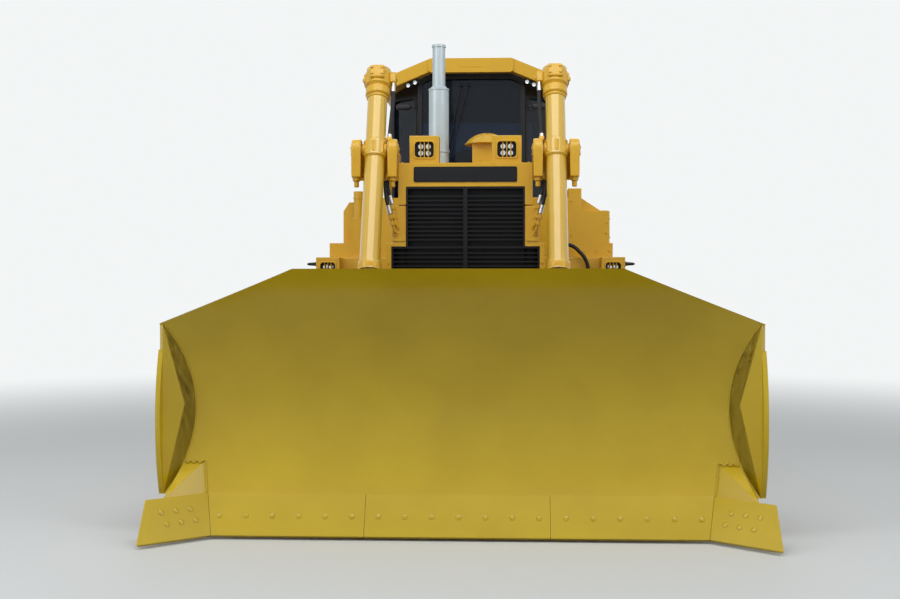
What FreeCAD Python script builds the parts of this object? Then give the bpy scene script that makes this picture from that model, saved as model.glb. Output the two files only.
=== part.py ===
import FreeCAD, Part
import math
import os
import re
import Sketcher
from FreeCAD import Placement, Rotation, Vector

# Crawler bulldozer with raised sprockets, a semi-U blade on push arms, a closed cab and a rear drawbar.
# Millimetres, +Z up, the machine drives towards -Y, its left side is +X.
# The origin is on the ground under the middle of the overall length.

doc = FreeCAD.newDocument("Bulldozer")
sheet = doc.addObject("Spreadsheet::Sheet", "Sizes")

# Driving sizes: alias, value.
sizes = (
    # tracks and what they run on
    ("trackX", 1040), ("shoeWidth", 560), ("trackPitch", 216), ("shoePlate", 18), ("grouserHeight", 65),
    ("grouserFoot", 34), ("grouserTip", 18), ("shoeGap", 12), ("linkInner", 65), ("linkOuter", 65),
    ("railInside", 48), ("railWide", 50), ("frontIdlerY", -900), ("rearIdlerY", 2300), ("idlerRadius", 350),
    ("idlerWide", 210), ("idlerFlange", 35), ("flangeWide", 78), ("runClearance", 0.5), ("sprocketY", 1550),
    ("sprocketZ", 1230), ("sprocketTrack", 434), ("sprocketWide", 76), ("toothTip", 12), ("toothRoot", 32),
    ("rollerRadius", 105), ("rollerFlange", 24), ("rollerCount", 8), ("rollerFirstY", -370),
    ("rollerPitch", 306), ("shaftRadius", 42), ("carrierY", 250), ("carrierRadius", 90),
    # roller frame
    ("frameHalf", 125), ("framePlate", 25), ("frameLow", 460), ("frameHigh", 740), ("guardLow", 260),
    ("frameNose", 130), ("pivotY", 1000), ("pivotZ", 600), ("pivotRadius", 90), ("equalizerY", -250),
    ("equalizerHigh", 100), ("equalizerLong", 140),
    # hull
    ("hullHalf", 430), ("railHigh", 200), ("railBroad", 100), ("bellyLow", 560), ("caseHalf", 450),
    ("caseFront", 1000),
    ("caseRear", 2480), ("caseHigh", 1750), ("drumRadius", 230), ("hubRadius", 250), ("hubOut", 190),
    ("jawY", 3066), ("jawZ", 640), ("jawGap", 110), ("jawPlate", 45), ("jawHalf", 100), ("jawPin", 35),
    # radiator guard, hood and engine
    ("guardFront", -1370), ("guardRear", -1000), ("guardTop", 2558), ("guardHalf", 510), ("cheekHalf", 600),
    ("cheekTop", 1950), ("doorHalf", 558), ("doorSeam", 2234), ("grilleTop", 2378), ("grilleHalf", 452),
    ("grilleLow", 760), ("lowGrilleHalf", 564),
    ("grilleDeep", 60), ("slatPitch", 33), ("slatHigh", 11), ("hoodTop", 2500), ("hoodHalf", 490),
    ("hoodPlate", 25), ("hoodLow", 1300), ("engineHalf", 400), ("engineHigh", 1100), ("engineLong", 950),
    # lift cylinders
    ("liftX", 685), ("trunnionY", -1380), ("trunnionZ", 2650), ("eyeY", -2180), ("eyeZ", 780),
    ("barrelRadius", 76),
    ("barrelBore", 60), ("barrelAbove", 705), ("barrelBelow", 1000), ("rodRadius", 45), ("rodLong", 1660),
    ("collarRadius", 90), ("collarLong", 130), ("yokeInside", 104), ("yokePlate", 66), ("yokePin", 40),
    ("eyeRadius", 85), ("eyeBore", 60), ("eyeWide", 80), ("liftPin", 35), ("lugPlate", 26), ("lugGap", 8),
    # blade
    ("edgeY", -2820), ("edgeZ", 12), ("edgeLean", 60), ("edgeHigh", 250), ("edgeThick", 32),
    ("bowlRadius", 1120),
    ("bowlPlate", 25), ("bladeTop", 1736), ("bladeMid", 1597), ("wingTurn", 40.4), ("wingLong", 520),
    ("sidePlate", 40), ("wingX", 1762), ("wingHalf", 1944), ("cornerX", 1032), ("cornerZ", 1390),
    ("patchTop", 470),
    ("patchLong", 307), ("capPlate", 30), ("capTop", 1210), ("capOut", 85), ("bitHalf", 1971),
    ("jointGap", 2),
    ("backY", -2310), ("backOut", 535), ("backLow", 330), ("backTop", 1500), ("beamHigh", 110),
    ("seatGap", 0.3),
    # push arms and braces
    ("armOut", 430), ("armWide", 180), ("armHigh", 240), ("armY", 500), ("armZ", 600), ("armEye", 150),
    ("armPin", 65), ("braceOut", 400), ("braceY", -1380), ("braceZ", 800), ("braceEndY", -2210),
    ("braceEndZ", 1330), ("braceRadius", 55), ("bracePin", 30), ("braceEye", 65),
    # cab
    ("cabFront", 300), ("cabRear", 1750), ("cabHalf", 740), ("cabLow", 1870), ("sideDrop", 276),
    ("cabNose", 480),
    ("cabCorner", 560), ("roofFlat", 359), ("roofTop", 3645), ("eaveDrop", 183), ("roofThick", 118),
    ("roofOut", 60), ("roofFront", 180), ("roofRear", 1850), ("cabWall", 60), ("glassThick", 8),
    ("doorFront", 640), ("doorRear", 1300), ("doorLow", 1950), ("doorDrop", 415), ("doorThick", 50),
    ("doorGap", 8), ("doorFrame", 90), ("hingeOut", 30),
    ("hingeRadius", 14), ("hingeHigh", 50), ("hingeUp", 180), ("sillZ", 2300),
    # fenders, tanks and lamps
    ("fenderZ", 1850), ("fenderPlate", 20), ("fenderOut", 220), ("fenderFront", 20), ("fenderRear", 2300),
    ("cowlTop", 2400), ("boxFront", 100), ("boxRear", 620), ("boxInner", 860), ("footTop", 2000),
    ("footHalf", 1250),
    ("boxHalf", 1222), ("boxTop", 2280), ("towerHalf", 975), ("towerTop", 2480), ("bracketHalf", 1155),
    ("tankBoxHalf", 1141), ("tankBoxTop", 2369), ("tankBoxSlope", 80), ("fillerX", 995), ("fillerFoot", 2214),
    ("fillerTop", 2460), ("fillerRadius", 47), ("tankRear", 2560), ("tankHalf", 880),
    ("tankLow", 1870), ("tankTop", 2850), ("lampWide", 226), ("lampHigh", 211), ("lampDeep", 160),
    ("lampX", 314),
    ("sideLampWide", 205),
    # stack and intake
    ("stackX", -251), ("stackY", -420), ("stackRadius", 84), ("stackNeck", 54), ("stackStep", 3290),
    ("stackTop", 3640), ("intakeX", 150), ("intakeY", -350), ("intakeWide", 240), ("domeRadius", 180),
    ("domeTop", 2905),
)
for row, (alias, value) in enumerate(sizes, 1):
    sheet.set(f"A{row}", alias)
    sheet.set(f"B{row}", str(value))
    sheet.setAlias(f"B{row}", alias)
doc.recompute()
aliases = {alias for alias, value in sizes}
subParts = []

# Sizes that follow from the driving ones.
worked = {
    "armX": "trackX + armOut",
    "braceX": "trackX + braceOut",
    "backHalf": "trackX + backOut",
    "fenderHalf": "trackX + fenderOut",
    "roofHalf": "cabHalf + roofOut",
    "hingeX": "cabHalf + hingeOut",
    "cabSide": "roofTop - sideDrop",
    "roofEave": "roofTop - eaveDrop",
    "doorTop": "roofTop - doorDrop",
}


def size(alias):
    return float(sheet.get(alias))


def bound(text):
    """The expression with worked sizes spelled out and the sheet's name put before each alias."""
    def spelled(word):
        name = word.group()
        if name in worked:
            return "(" + bound(worked[name]) + ")"
        return "Sizes." + name if name in aliases else name
    return re.sub(r"[A-Za-z]\w*", spelled, str(text))


def tie(thing, field, text):
    thing.setExpression(field, bound(text))


def place(thing, x, y, z):
    for name, text in (("x", x), ("y", y), ("z", z)):
        tie(thing, ".Placement.Base." + name, text)


def box(x, y, z, length, width, height):
    block = doc.addObject("Part::Box", "Block")
    for field, text in (("Length", length), ("Width", width), ("Height", height)):
        tie(block, field, text)
    place(block, x, y, z)
    return block


turns = {"X": Rotation(Vector(0, 1, 0), 90), "Y": Rotation(Vector(1, 0, 0), -90), "Z": Rotation()}


def drum(axis, x, y, z, radius, length):
    """A cylinder from its low end along the axis."""
    cylinder = doc.addObject("Part::Cylinder", "Drum")
    cylinder.Placement = Placement(Vector(), turns[axis])
    tie(cylinder, "Radius", radius)
    tie(cylinder, "Height", length)
    place(cylinder, x, y, z)
    return cylinder


def prism(plane, start, depth, outline):
    """A body padded from a sketch. An XZ outline's depth runs from start towards +Y."""
    body = doc.addObject("PartDesign::Body", "Prism")
    sketch = body.newObject("Sketcher::SketchObject", "Outline")
    origin = [feature for feature in body.Origin.OriginFeatures if feature.Role == plane + "_Plane"][0]
    sketch.AttachmentSupport = [(origin, "")]
    sketch.MapMode = "FlatFace"
    offset = f"-(({start}) + ({depth}))" if plane == "XZ" else start
    tie(sketch, ".AttachmentOffset.Base.z", offset)
    count = len(outline)
    for corner in range(count):
        here = Vector(math.cos(corner * 2 * math.pi / count), math.sin(corner * 2 * math.pi / count), 0) * 100
        there = Vector(math.cos((corner + 1) * 2 * math.pi / count),
                       math.sin((corner + 1) * 2 * math.pi / count), 0) * 100
        sketch.addGeometry(Part.LineSegment(here, there), False)
    for corner in range(count):
        sketch.addConstraint(Sketcher.Constraint("Coincident", corner, 2, (corner + 1) % count, 1))
    for corner, point in enumerate(outline):
        for kind, text in zip(("DistanceX", "DistanceY"), point):
            number = sketch.addConstraint(Sketcher.Constraint(kind, -1, 1, corner, 1, 100.0))
            tie(sketch, f"Constraints[{number}]", text)
    pad = body.newObject("PartDesign::Pad", "Pad")
    pad.Profile = sketch
    tie(pad, "Length", depth)
    sketch.Visibility = False
    return body


def both(points):
    """An outline given for its +X half, closed by its mirror image."""
    return list(points) + [(f"-({across})", up) for across, up in reversed(points)]


def fused(*pieces):
    whole = doc.addObject("Part::MultiFuse", "Fused")
    whole.Shapes = list(pieces)
    whole.Refine = True
    return whole


def cut(base, *tools):
    rest = doc.addObject("Part::Cut", "Cut")
    rest.Base = base
    rest.Tool = tools[0] if len(tools) == 1 else group(*tools)
    rest.Refine = True
    return rest


def common(first, second):
    shared = doc.addObject("Part::Common", "Common")
    shared.Base = first
    shared.Tool = second
    return shared


def group(*pieces):
    """Solids that don't touch, kept as one object."""
    several = doc.addObject("Part::Compound", "Group")
    several.Links = list(pieces)
    return several


def mirrored(piece):
    other = doc.addObject("Part::Mirroring", "Mirrored")
    other.Source = piece
    other.Normal = Vector(1, 0, 0)
    return other


def subPart(label, piece):
    piece.Label = label
    subParts.append(piece)
    return piece


def madeShape(shape):
    piece = doc.addObject("Part::Feature", "Shaped")
    piece.Shape = shape
    return piece


# Track: straight links between pins that are spread evenly along the loop's pin line.
def pinRadius(running):
    """Where the pins ride on a wheel, so that a link's middle just clears the wheel."""
    return math.hypot(running + size("runClearance") + size("linkInner"), size("trackPitch") / 2)


plateUnder = size("linkOuter")
groundPin = size("grouserHeight") + size("shoePlate") + size("linkOuter")
idlerPins = pinRadius(size("idlerRadius"))
idlerZ = groundPin + idlerPins
idlerPath = "sqrt((idlerRadius + runClearance + linkInner)^2 + (trackPitch / 2)^2)"
idlerAxle = f"(grouserHeight + shoePlate + linkOuter + {idlerPath})"


def loopPins():
    """Pin places round the front idler, the rear idler and the raised sprocket, as (y, z)."""
    wheels = (
        (size("frontIdlerY"), idlerZ, idlerPins),
        (size("rearIdlerY"), idlerZ, idlerPins),
        (size("sprocketY"), size("sprocketZ"), size("sprocketTrack")),
    )
    runs = []
    for (y, z, radius), (nextY, nextZ, nextRadius) in zip(wheels, wheels[1:] + wheels[:1]):
        reach = math.hypot(nextY - y, nextZ - z)
        normal = math.atan2(nextZ - z, nextY - y) - math.acos((radius - nextRadius) / reach)
        runs.append((y, z, radius, nextY, nextZ, nextRadius, normal))
    stretches = []
    for run, following in zip(runs, runs[1:] + runs[:1]):
        y, z, radius, nextY, nextZ, nextRadius, normal = run
        leave = (y + radius * math.cos(normal), z + radius * math.sin(normal))
        land = (nextY + nextRadius * math.cos(normal), nextZ + nextRadius * math.sin(normal))
        stretches.append(("run", leave, land, math.dist(leave, land)))
        sweep = (following[6] - normal) % (2 * math.pi)
        stretches.append(("bend", (nextY, nextZ, nextRadius), (normal, sweep), nextRadius * sweep))
    total = sum(stretch[3] for stretch in stretches)
    count = round(total / size("trackPitch"))
    pins = []
    for number in range(count):
        along = (number + 0.5) * total / count
        for kind, first, second, long in stretches:
            if along <= long:
                break
            along -= long
        if kind == "run":
            share = along / long
            pins.append(tuple(a + (b - a) * share for a, b in zip(first, second)))
        else:
            turn = second[0] + along / first[2]
            pins.append((first[0] + first[2] * math.cos(turn), first[1] + first[2] * math.sin(turn)))
    return pins


def ring(pins, outward, inward):
    """The face between two offsets of the pin polygon."""
    faces = []
    count = len(pins)
    for offset in (outward, inward):
        corners = []
        for number in range(count):
            before, here, after = pins[number - 1], pins[number], pins[(number + 1) % count]
            first = math.atan2(here[1] - before[1], here[0] - before[0])
            second = math.atan2(after[1] - here[1], after[0] - here[0])
            turn = (second - first + math.pi) % (2 * math.pi) - math.pi
            middle = first + turn / 2
            reach = offset / math.cos(turn / 2)
            corners.append(Vector(0, here[0] + reach * math.sin(middle), here[1] - reach * math.cos(middle)))
        faces.append(Part.Face(Part.makePolygon(corners + corners[:1])))
    return faces[0].cut(faces[1]).Faces[0]


def shoeOutline(pins, number):
    """One shoe with its grouser, seen along X, as places along the link and heights over its plate's foot."""
    here, there = pins[number], pins[(number + 1) % len(pins)]
    pitch = math.dist(here, there)
    turn = math.atan2(there[1] - here[1], there[0] - here[0])
    half = pitch / 2 - size("shoeGap") / 2
    plate = size("shoePlate")
    top = plate + size("grouserHeight")
    bar = -half + size("grouserFoot")
    table = ((-half, 0), (half, 0), (half, plate), (bar + size("grouserFoot") / 2, plate),
             (bar + size("grouserTip") / 2, top),
             (bar - size("grouserTip") / 2, top), (bar - size("grouserFoot") / 2, plate), (-half, plate))
    middle = ((here[0] + there[0]) / 2, (here[1] + there[1]) / 2)
    corners = []
    for along, high in table:
        out = plateUnder + high
        corners.append(Vector(0, middle[0] + along * math.cos(turn) + out * math.sin(turn),
                              middle[1] + along * math.sin(turn) - out * math.cos(turn)))
    return Part.Face(Part.makePolygon(corners + corners[:1]))


def makeTrack():
    pins = loopPins()
    chain = ring(pins, plateUnder, -size("linkInner"))
    rails = []
    for side in (-1, 1):
        low = side * (size("railInside") + size("railWide") / 2) - size("railWide") / 2
        rail = chain.extrude(Vector(size("railWide"), 0, 0))
        rail.translate(Vector(size("trackX") + low, 0, 0))
        rails.append(rail)
    shoes = []
    for number in range(len(pins)):
        shoe = shoeOutline(pins, number).extrude(Vector(size("shoeWidth"), 0, 0))
        shoe.translate(Vector(size("trackX") - size("shoeWidth") / 2, 0, 0))
        shoes.append(shoe)
    return rails[0].multiFuse(rails[1:] + shoes).removeSplitter()


trackLeft = subPart("track_left", madeShape(makeTrack()))
subPart("track_right", mirrored(trackLeft))


def wheel(y, z, radius, wide, flange, flangeWide):
    """An idler: rim with its guiding flange, dished sides and the axle that its forks hold."""
    x = "trackX"
    rim = drum("X", f"{x} - ({wide}) / 2", y, z, radius, wide)
    guide = drum("X", f"{x} - ({flangeWide}) / 2", y, z, f"({radius}) + ({flange})", flangeWide)
    dishes = [drum("X", f"{x} + ({low})", y, z, f"({radius}) - 60", "60")
              for low in (f"-({wide}) / 2 - 10", f"({wide}) / 2 - 50")]
    hub = drum("X", f"{x} - ({wide}) / 2", y, z, "shaftRadius * 2.2", wide)
    axle = drum("X", f"{x} - frameHalf", y, z, "shaftRadius", "2 * frameHalf")
    return fused(cut(fused(rim, guide), *dishes), hub, axle)


for label, y in (("front_idlers", "frontIdlerY"), ("rear_idlers", "rearIdlerY")):
    idler = wheel(y, idlerAxle, "idlerRadius", "idlerWide", "idlerFlange", "flangeWide")
    subPart(label, group(idler, mirrored(idler)))

# Sprocket rims run between the rails, a tooth in each half pitch.
def makeSprocket():
    teeth = round(2 * math.pi * size("sprocketTrack") / size("trackPitch")) * 2
    step = 2 * math.pi / teeth
    tip = size("sprocketTrack") + size("toothTip")
    root = size("sprocketTrack") - size("toothRoot")
    corners = []
    for tooth in range(teeth):
        for share, radius in ((-0.38, root), (-0.14, tip), (0.14, tip), (0.38, root)):
            turn = (tooth + share) * step
            corners.append(Vector(0, size("sprocketY") + radius * math.cos(turn),
                                  size("sprocketZ") + radius * math.sin(turn)))
    rim = Part.Face(Part.makePolygon(corners + corners[:1])).extrude(Vector(size("sprocketWide"), 0, 0))
    rim.translate(Vector(size("trackX") - size("sprocketWide") / 2, 0, 0))
    return rim


sprocket = madeShape(makeSprocket())
subPart("sprockets", group(sprocket, mirrored(sprocket)))

rollerZ = "(grouserHeight + shoePlate + linkOuter + linkInner + runClearance + rollerRadius)"
rollers = []
for number in range(int(size("rollerCount"))):
    y = f"(rollerFirstY + {number} * rollerPitch)"
    tread = drum("X", "trackX - railInside - railWide", y, rollerZ, "rollerRadius",
                 "2 * (railInside + railWide)")
    flanges = [drum("X", f"trackX + ({low})", y, rollerZ, "rollerRadius + rollerFlange", "railInside - 16")
               for low in ("-railInside + 8", "8")]
    shaft = drum("X", "trackX - frameHalf", y, rollerZ, "shaftRadius", "2 * frameHalf")
    rollers.append(fused(tread, *flanges, shaft))
subPart("track_rollers", group(*rollers, *[mirrored(roller) for roller in rollers]))


# Roller frames: two cheek plates, a box beam, the cross shaft's seat and the push arm's trunnion.
def nosed():
    return (("frontIdlerY - frameNose", f"{idlerAxle} - 70"), ("rollerFirstY - 100", "frameLow - 20"),
            ("rollerFirstY - 70", "guardLow"),
            (f"rollerFirstY + 70 + (rollerCount - 1) * rollerPitch", "guardLow"),
            (f"rollerFirstY + 100 + (rollerCount - 1) * rollerPitch", "frameLow - 20"),
            ("rearIdlerY + frameNose", f"{idlerAxle} - 70"), ("rearIdlerY + frameNose", f"{idlerAxle} + 70"),
            ("rearIdlerY - 450", "frameHigh"), ("frontIdlerY + 450", "frameHigh"),
            ("frontIdlerY - frameNose", f"{idlerAxle} + 70"))


cheeks = [prism("YZ", f"trackX + ({low})", "framePlate", nosed())
          for low in ("-frameHalf - framePlate", "frameHalf")]
beamFront = "frontIdlerY + idlerRadius + idlerFlange + 25"
beamRear = "rearIdlerY - idlerRadius - idlerFlange - 25"
beam = box("trackX - frameHalf", beamFront, "frameLow", "2 * frameHalf", f"({beamRear}) - ({beamFront})",
           "frameHigh - frameLow")
armIn = "(armX - armWide / 2)"
boss = drum("X", "trackX + frameHalf + framePlate", "armY", "armZ", "armPin * 1.7",
            f"{armIn} - 5 - trackX - frameHalf - framePlate")
pin = drum("X", "trackX + frameHalf", "armY", "armZ", "armPin",
           "armX + armWide / 2 + 12 - trackX - frameHalf")
frameLeft = subPart("roller_frame_left", fused(*cheeks, beam, boss, pin))
subPart("roller_frame_right", mirrored(frameLeft))

# Carrier rollers hold the long upper run off a post on each roller frame.
def topRun(y):
    """Height of the rails' running side over a place on the upper run."""
    pins = [pin for pin in loopPins() if pin[1] > idlerZ + idlerPins * 0.9]
    pins.sort()
    for here, there in zip(pins, pins[1:]):
        if here[0] <= y <= there[0]:
            share = (y - here[0]) / (there[0] - here[0])
            slope = math.atan2(there[1] - here[1], there[0] - here[0])
            return here[1] + share * (there[1] - here[1]) - size("linkInner") / math.cos(slope), slope
    return pins[-1][1] - size("linkInner"), 0.0


runZ, runSlope = topRun(size("carrierY"))
carrierZ = runZ - (size("carrierRadius") + size("runClearance")) / math.cos(runSlope)
carrier = Part.makeCylinder(size("carrierRadius"), 2 * (size("railInside") + size("railWide")),
                            Vector(size("trackX") - size("railInside") - size("railWide"), size("carrierY"),
                                   carrierZ), Vector(1, 0, 0))
arm = Part.makeCylinder(size("shaftRadius"), size("railInside") + size("railWide") + 60,
                        Vector(size("trackX") - size("railInside") - size("railWide") - 60, size("carrierY"),
                               carrierZ), Vector(1, 0, 0))
postHigh = carrierZ + size("shaftRadius") - size("frameHigh")
post = Part.makeBox(50, 120, postHigh, Vector(size("trackX") - size("railInside") - size("railWide") - 60,
                                              size("carrierY") - 60, size("frameHigh")))
carrierWhole = madeShape(carrier.multiFuse([arm, post]))
subPart("carrier_rollers", group(carrierWhole, mirrored(carrierWhole)))

# Cross shaft through both roller frames, and the equalizer bar that joins their fronts.
shaftIn = "(trackX - frameHalf - framePlate)"
crossShaft = drum("X", "caseHalf", "pivotY", "pivotZ", "pivotRadius", f"{shaftIn} - caseHalf")
equalizer = box(f"-({shaftIn} + 40)", "equalizerY - equalizerLong / 2", "frameHigh", f"2 * ({shaftIn} + 40)",
                "equalizerLong", "equalizerHigh")
subPart("cross_shafts", group(crossShaft, mirrored(crossShaft)))
subPart("equalizer_bar", equalizer)

# Hull: two rails on the equalizer bar and closed bellies before and behind it.
railLow = "(frameHigh + equalizerHigh)"
rails = [box(x, "guardRear", railLow, "railBroad", "caseFront - guardRear", "railHigh")
         for x in ("-hullHalf", "hullHalf - railBroad")]
bellies = [
    box("-hullHalf", "guardRear", "bellyLow", "2 * hullHalf",
        "equalizerY - equalizerLong / 2 - 60 - guardRear", f"{railLow} - bellyLow"),
    box("-hullHalf", "equalizerY + equalizerLong / 2 + 60", "bellyLow", "2 * hullHalf",
        "caseFront - equalizerY - equalizerLong / 2 - 60", f"{railLow} - bellyLow"),
]
subPart("main_frame", fused(*rails, *bellies))

# Rear case and final drives.
caseSide = (("caseFront", "bellyLow"), ("caseRear - 260", "bellyLow"), ("caseRear", "bellyLow + 260"),
            ("caseRear", "caseHigh - 200"), ("caseRear - 200", "caseHigh"), ("caseFront", "caseHigh"))
subPart("rear_case", prism("YZ", "-caseHalf", "2 * caseHalf", caseSide))
inner = drum("X", "caseHalf", "sprocketY", "sprocketZ", "drumRadius", "trackX - sprocketWide / 2 - caseHalf")
outer = fused(drum("X", "trackX + sprocketWide / 2", "sprocketY", "sprocketZ", "hubRadius", "hubOut - 40"),
              drum("X", "trackX + sprocketWide / 2", "sprocketY", "sprocketZ", "hubRadius * 0.72", "hubOut"))
subPart("final_drives", group(inner, outer, mirrored(inner), mirrored(outer)))

# Drawbar: a jaw with two plates and a loose pin's hole through both.
jawLow = "(jawZ - jawGap / 2 - jawPlate)"
jawBlock = box("-jawHalf * 1.6", "caseRear - 260", jawLow, "jawHalf * 3.2", "jawY - 200 - caseRear + 260",
               "jawGap + 2 * jawPlate")
jawRoom = prism("YZ", "-jawHalf * 1.7", "jawHalf * 3.4",
                (("caseRear - 261", "bellyLow"), ("caseRear - 260", "bellyLow"),
                ("caseRear", "bellyLow + 260"), ("caseRear", "bellyLow + 400"),
                ("caseRear - 261", "bellyLow + 400")))
jawArms = [box("-jawHalf", "jawY - 210", low, "2 * jawHalf", "210", "jawPlate")
           for low in (jawLow, "(jawZ + jawGap / 2)")]
jawEnds = [drum("Z", "0", "jawY", low, "jawHalf", "jawPlate") for low in (jawLow, "(jawZ + jawGap / 2)")]
jawHole = drum("Z", "0", "jawY", f"{jawLow} - 5", "jawPin", "jawGap + 2 * jawPlate + 10")
subPart("drawbar", cut(fused(jawBlock, *jawArms, *jawEnds), jawRoom, jawHole))

# Radiator guard: wide cheeks below, a narrower head above, and one opening that is stepped the same way.
guardLong = "guardRear - guardFront"
head = box("-guardHalf", "guardFront", "doorSeam", "2 * guardHalf", guardLong, "guardTop - doorSeam")
doorsLevel = box("-doorHalf", "guardFront", "cheekTop", "2 * doorHalf", guardLong, "doorSeam - cheekTop")
cheeksLow = box("-cheekHalf", "guardFront", "bellyLow", "2 * cheekHalf", guardLong, "cheekTop - bellyLow")
upperMouth = box("-grilleHalf", "guardFront - 5", "grilleLow", "2 * grilleHalf", f"{guardLong} - 60",
                 "grilleTop - grilleLow")
lowerMouth = box("-lowGrilleHalf", "guardFront - 5", "grilleLow", "2 * lowGrilleHalf", "185",
                 "cheekTop - 25 - grilleLow")
seams = [box(x, "guardFront - 5", "doorSeam - 5", "doorHalf - grilleHalf + 10", "25", "10")
         for x in ("-doorHalf - 5", "grilleHalf - 5")]
subPart("radiator_guard", cut(fused(head, doorsLevel, cheeksLow), upperMouth, lowerMouth, *seams))

# Grille: a frame with level slats and a middle bar, set in the guard's opening.
def slatRows(low, top, half):
    count = int((size(top) - size(low) - 40) // size("slatPitch"))
    return [box(f"-{half}", "guardFront + 12", f"{low} + 20 + {number} * slatPitch", f"2 * {half}",
                "grilleDeep - 24", "slatHigh")
            for number in range(count)]


grilleY = "guardFront + 4"
frameLow = "(cheekTop - 41)"
upperFrame = cut(box("-grilleHalf", grilleY, frameLow, "2 * grilleHalf", "grilleDeep",
                     f"grilleTop - {frameLow}"),
                 box("-grilleHalf + 16", "guardFront", f"{frameLow} + 16", "2 * grilleHalf - 32",
                     "grilleDeep + 20",
                     f"grilleTop - {frameLow} - 32"))
lowerFrame = cut(box("-lowGrilleHalf", grilleY, "grilleLow", "2 * lowGrilleHalf", "grilleDeep",
                     "cheekTop - 25 - grilleLow"),
                 box("-lowGrilleHalf + 16", "guardFront", "grilleLow + 16", "2 * lowGrilleHalf - 32",
                     "grilleDeep + 20", "cheekTop - 57 - grilleLow"))
middleBar = box("-16", grilleY, "grilleLow", "32", "grilleDeep", "grilleTop - grilleLow")
slats = slatRows("cheekTop", "grilleTop", "grilleHalf") + slatRows("grilleLow", "cheekTop", "lowGrilleHalf")
subPart("front_grille", fused(upperFrame, lowerFrame, middleBar, *slats))

coreY = "guardFront + 120"
subPart("radiator_core", box("-grilleHalf", coreY, "grilleLow", "2 * grilleHalf", "185",
                             "grilleTop - grilleLow"))

# Hood over the engine, its side panels with cooling slots.
hoodTop = both((("hoodHalf", "hoodTop - hoodPlate - 60"), ("hoodHalf", "hoodTop - 60"),
                ("hoodHalf - 60", "hoodTop")))
hoodRoom = both((("hoodHalf - hoodPlate", "hoodTop - hoodPlate - 61"),
                 ("hoodHalf - hoodPlate", "hoodTop - 60 - hoodPlate / 2"),
                 ("hoodHalf - 60 - hoodPlate / 2", "hoodTop - hoodPlate")))
hoodLong = "cabFront - guardRear"
subPart("hood_top", cut(prism("XZ", "guardRear", hoodLong, hoodTop),
                        prism("XZ", "guardRear - 5", f"{hoodLong} + 10", hoodRoom)))
panel = box("hoodHalf - hoodPlate", "guardRear", "hoodLow", "hoodPlate", hoodLong,
            "hoodTop - hoodPlate - 60 - hoodLow")
slots = [box("hoodHalf - hoodPlate - 5", f"guardRear + 180 + {column} * 480", f"hoodLow + 420 + {row} * 60",
             "hoodPlate + 10", "360", "22")
         for column in range(2) for row in range(8)]
panel = cut(panel, *slots)
subPart("hood_sides", group(panel, mirrored(panel)))
subPart("engine_block", box("-engineHalf", "guardRear + 80", f"{railLow} + railHigh", "2 * engineHalf",
                            "engineLong", "engineHigh"))

# Exhaust stack and air intake on the hood.
lowerStack = drum("Z", "stackX", "stackY", "hoodTop", "stackRadius", "stackStep - 30 - hoodTop")
shoulder = doc.addObject("Part::Cone", "Shoulder")
for field, text in (("Radius1", "stackRadius"), ("Radius2", "stackNeck + 6"), ("Height", "30")):
    tie(shoulder, field, text)
place(shoulder, "stackX", "stackY", "stackStep - 30")
neck = drum("Z", "stackX", "stackY", "stackStep", "stackNeck", "stackTop - stackStep")
collar = drum("Z", "stackX", "stackY", "hoodTop", "stackRadius + 14", "30")
bore = drum("Z", "stackX", "stackY", "stackTop - 260", "stackNeck - 6", "270")
subPart("exhaust_stack", cut(fused(lowerStack, shoulder, neck, collar), bore))
intakeBody = box("intakeX - intakeWide / 2", "intakeY - intakeWide / 2", "hoodTop", "intakeWide",
                 "intakeWide", "domeTop - 90 - hoodTop")
ball = doc.addObject("Part::Sphere", "Dome")
ballRadius = "((domeRadius^2 + 90^2) / 180)"
tie(ball, "Radius", ballRadius)
place(ball, "intakeX", "intakeY", f"domeTop - {ballRadius}")
cap = common(ball, box("intakeX - 2 * domeRadius", "intakeY - 2 * domeRadius", "domeTop - 90",
                       "4 * domeRadius", "4 * domeRadius", "100"))
subPart("air_intake", fused(intakeBody, cap))


# Work lamps in boxes: a case with a recess for the lens, which is a plate at its bottom.
def lamp(x, y, z, wide):
    case = box(f"{x} - {wide} / 2", y, z, wide, "lampDeep", "lampHigh")
    mouth = box(f"{x} - {wide} / 3", f"{y} - 5", f"{z} + lampHigh * 0.2", f"{wide} * 2 / 3", "55",
                "lampHigh * 0.6")
    return cut(case, mouth)


hoodLamp = lamp("lampX", "guardFront + 40", "guardTop", "lampWide")
subPart("hood_lamps", group(hoodLamp, mirrored(hoodLamp)))

# Yokes on the guard's flanks carry the lift cylinders' trunnions.
yokeIn = "(liftX - yokeInside - yokePlate)"
yokeOut = "(liftX + yokeInside)"
armLow = "(trunnionZ - 205)"
arms = []
for x in (yokeIn, yokeOut):
    plate = box(x, "trunnionY - 85", armLow, "yokePlate", "guardFront + 250 - trunnionY + 85", "205")
    eye = drum("X", x, "trunnionY", "trunnionZ", "85", "yokePlate")
    arms += [plate, eye]
bridge = box("guardHalf", "guardFront + 150", armLow, "liftX + yokeInside + yokePlate - guardHalf", "100",
             "200")
yoke = cut(fused(*arms, bridge), drum("X", "guardHalf - 5", "trunnionY", "trunnionZ", "yokePin + 1", "liftX"),
           box("0", "trunnionY - 200", armLow, "guardHalf", "600", "400"))
subPart("lift_yokes", group(yoke, mirrored(yoke)))

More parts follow.
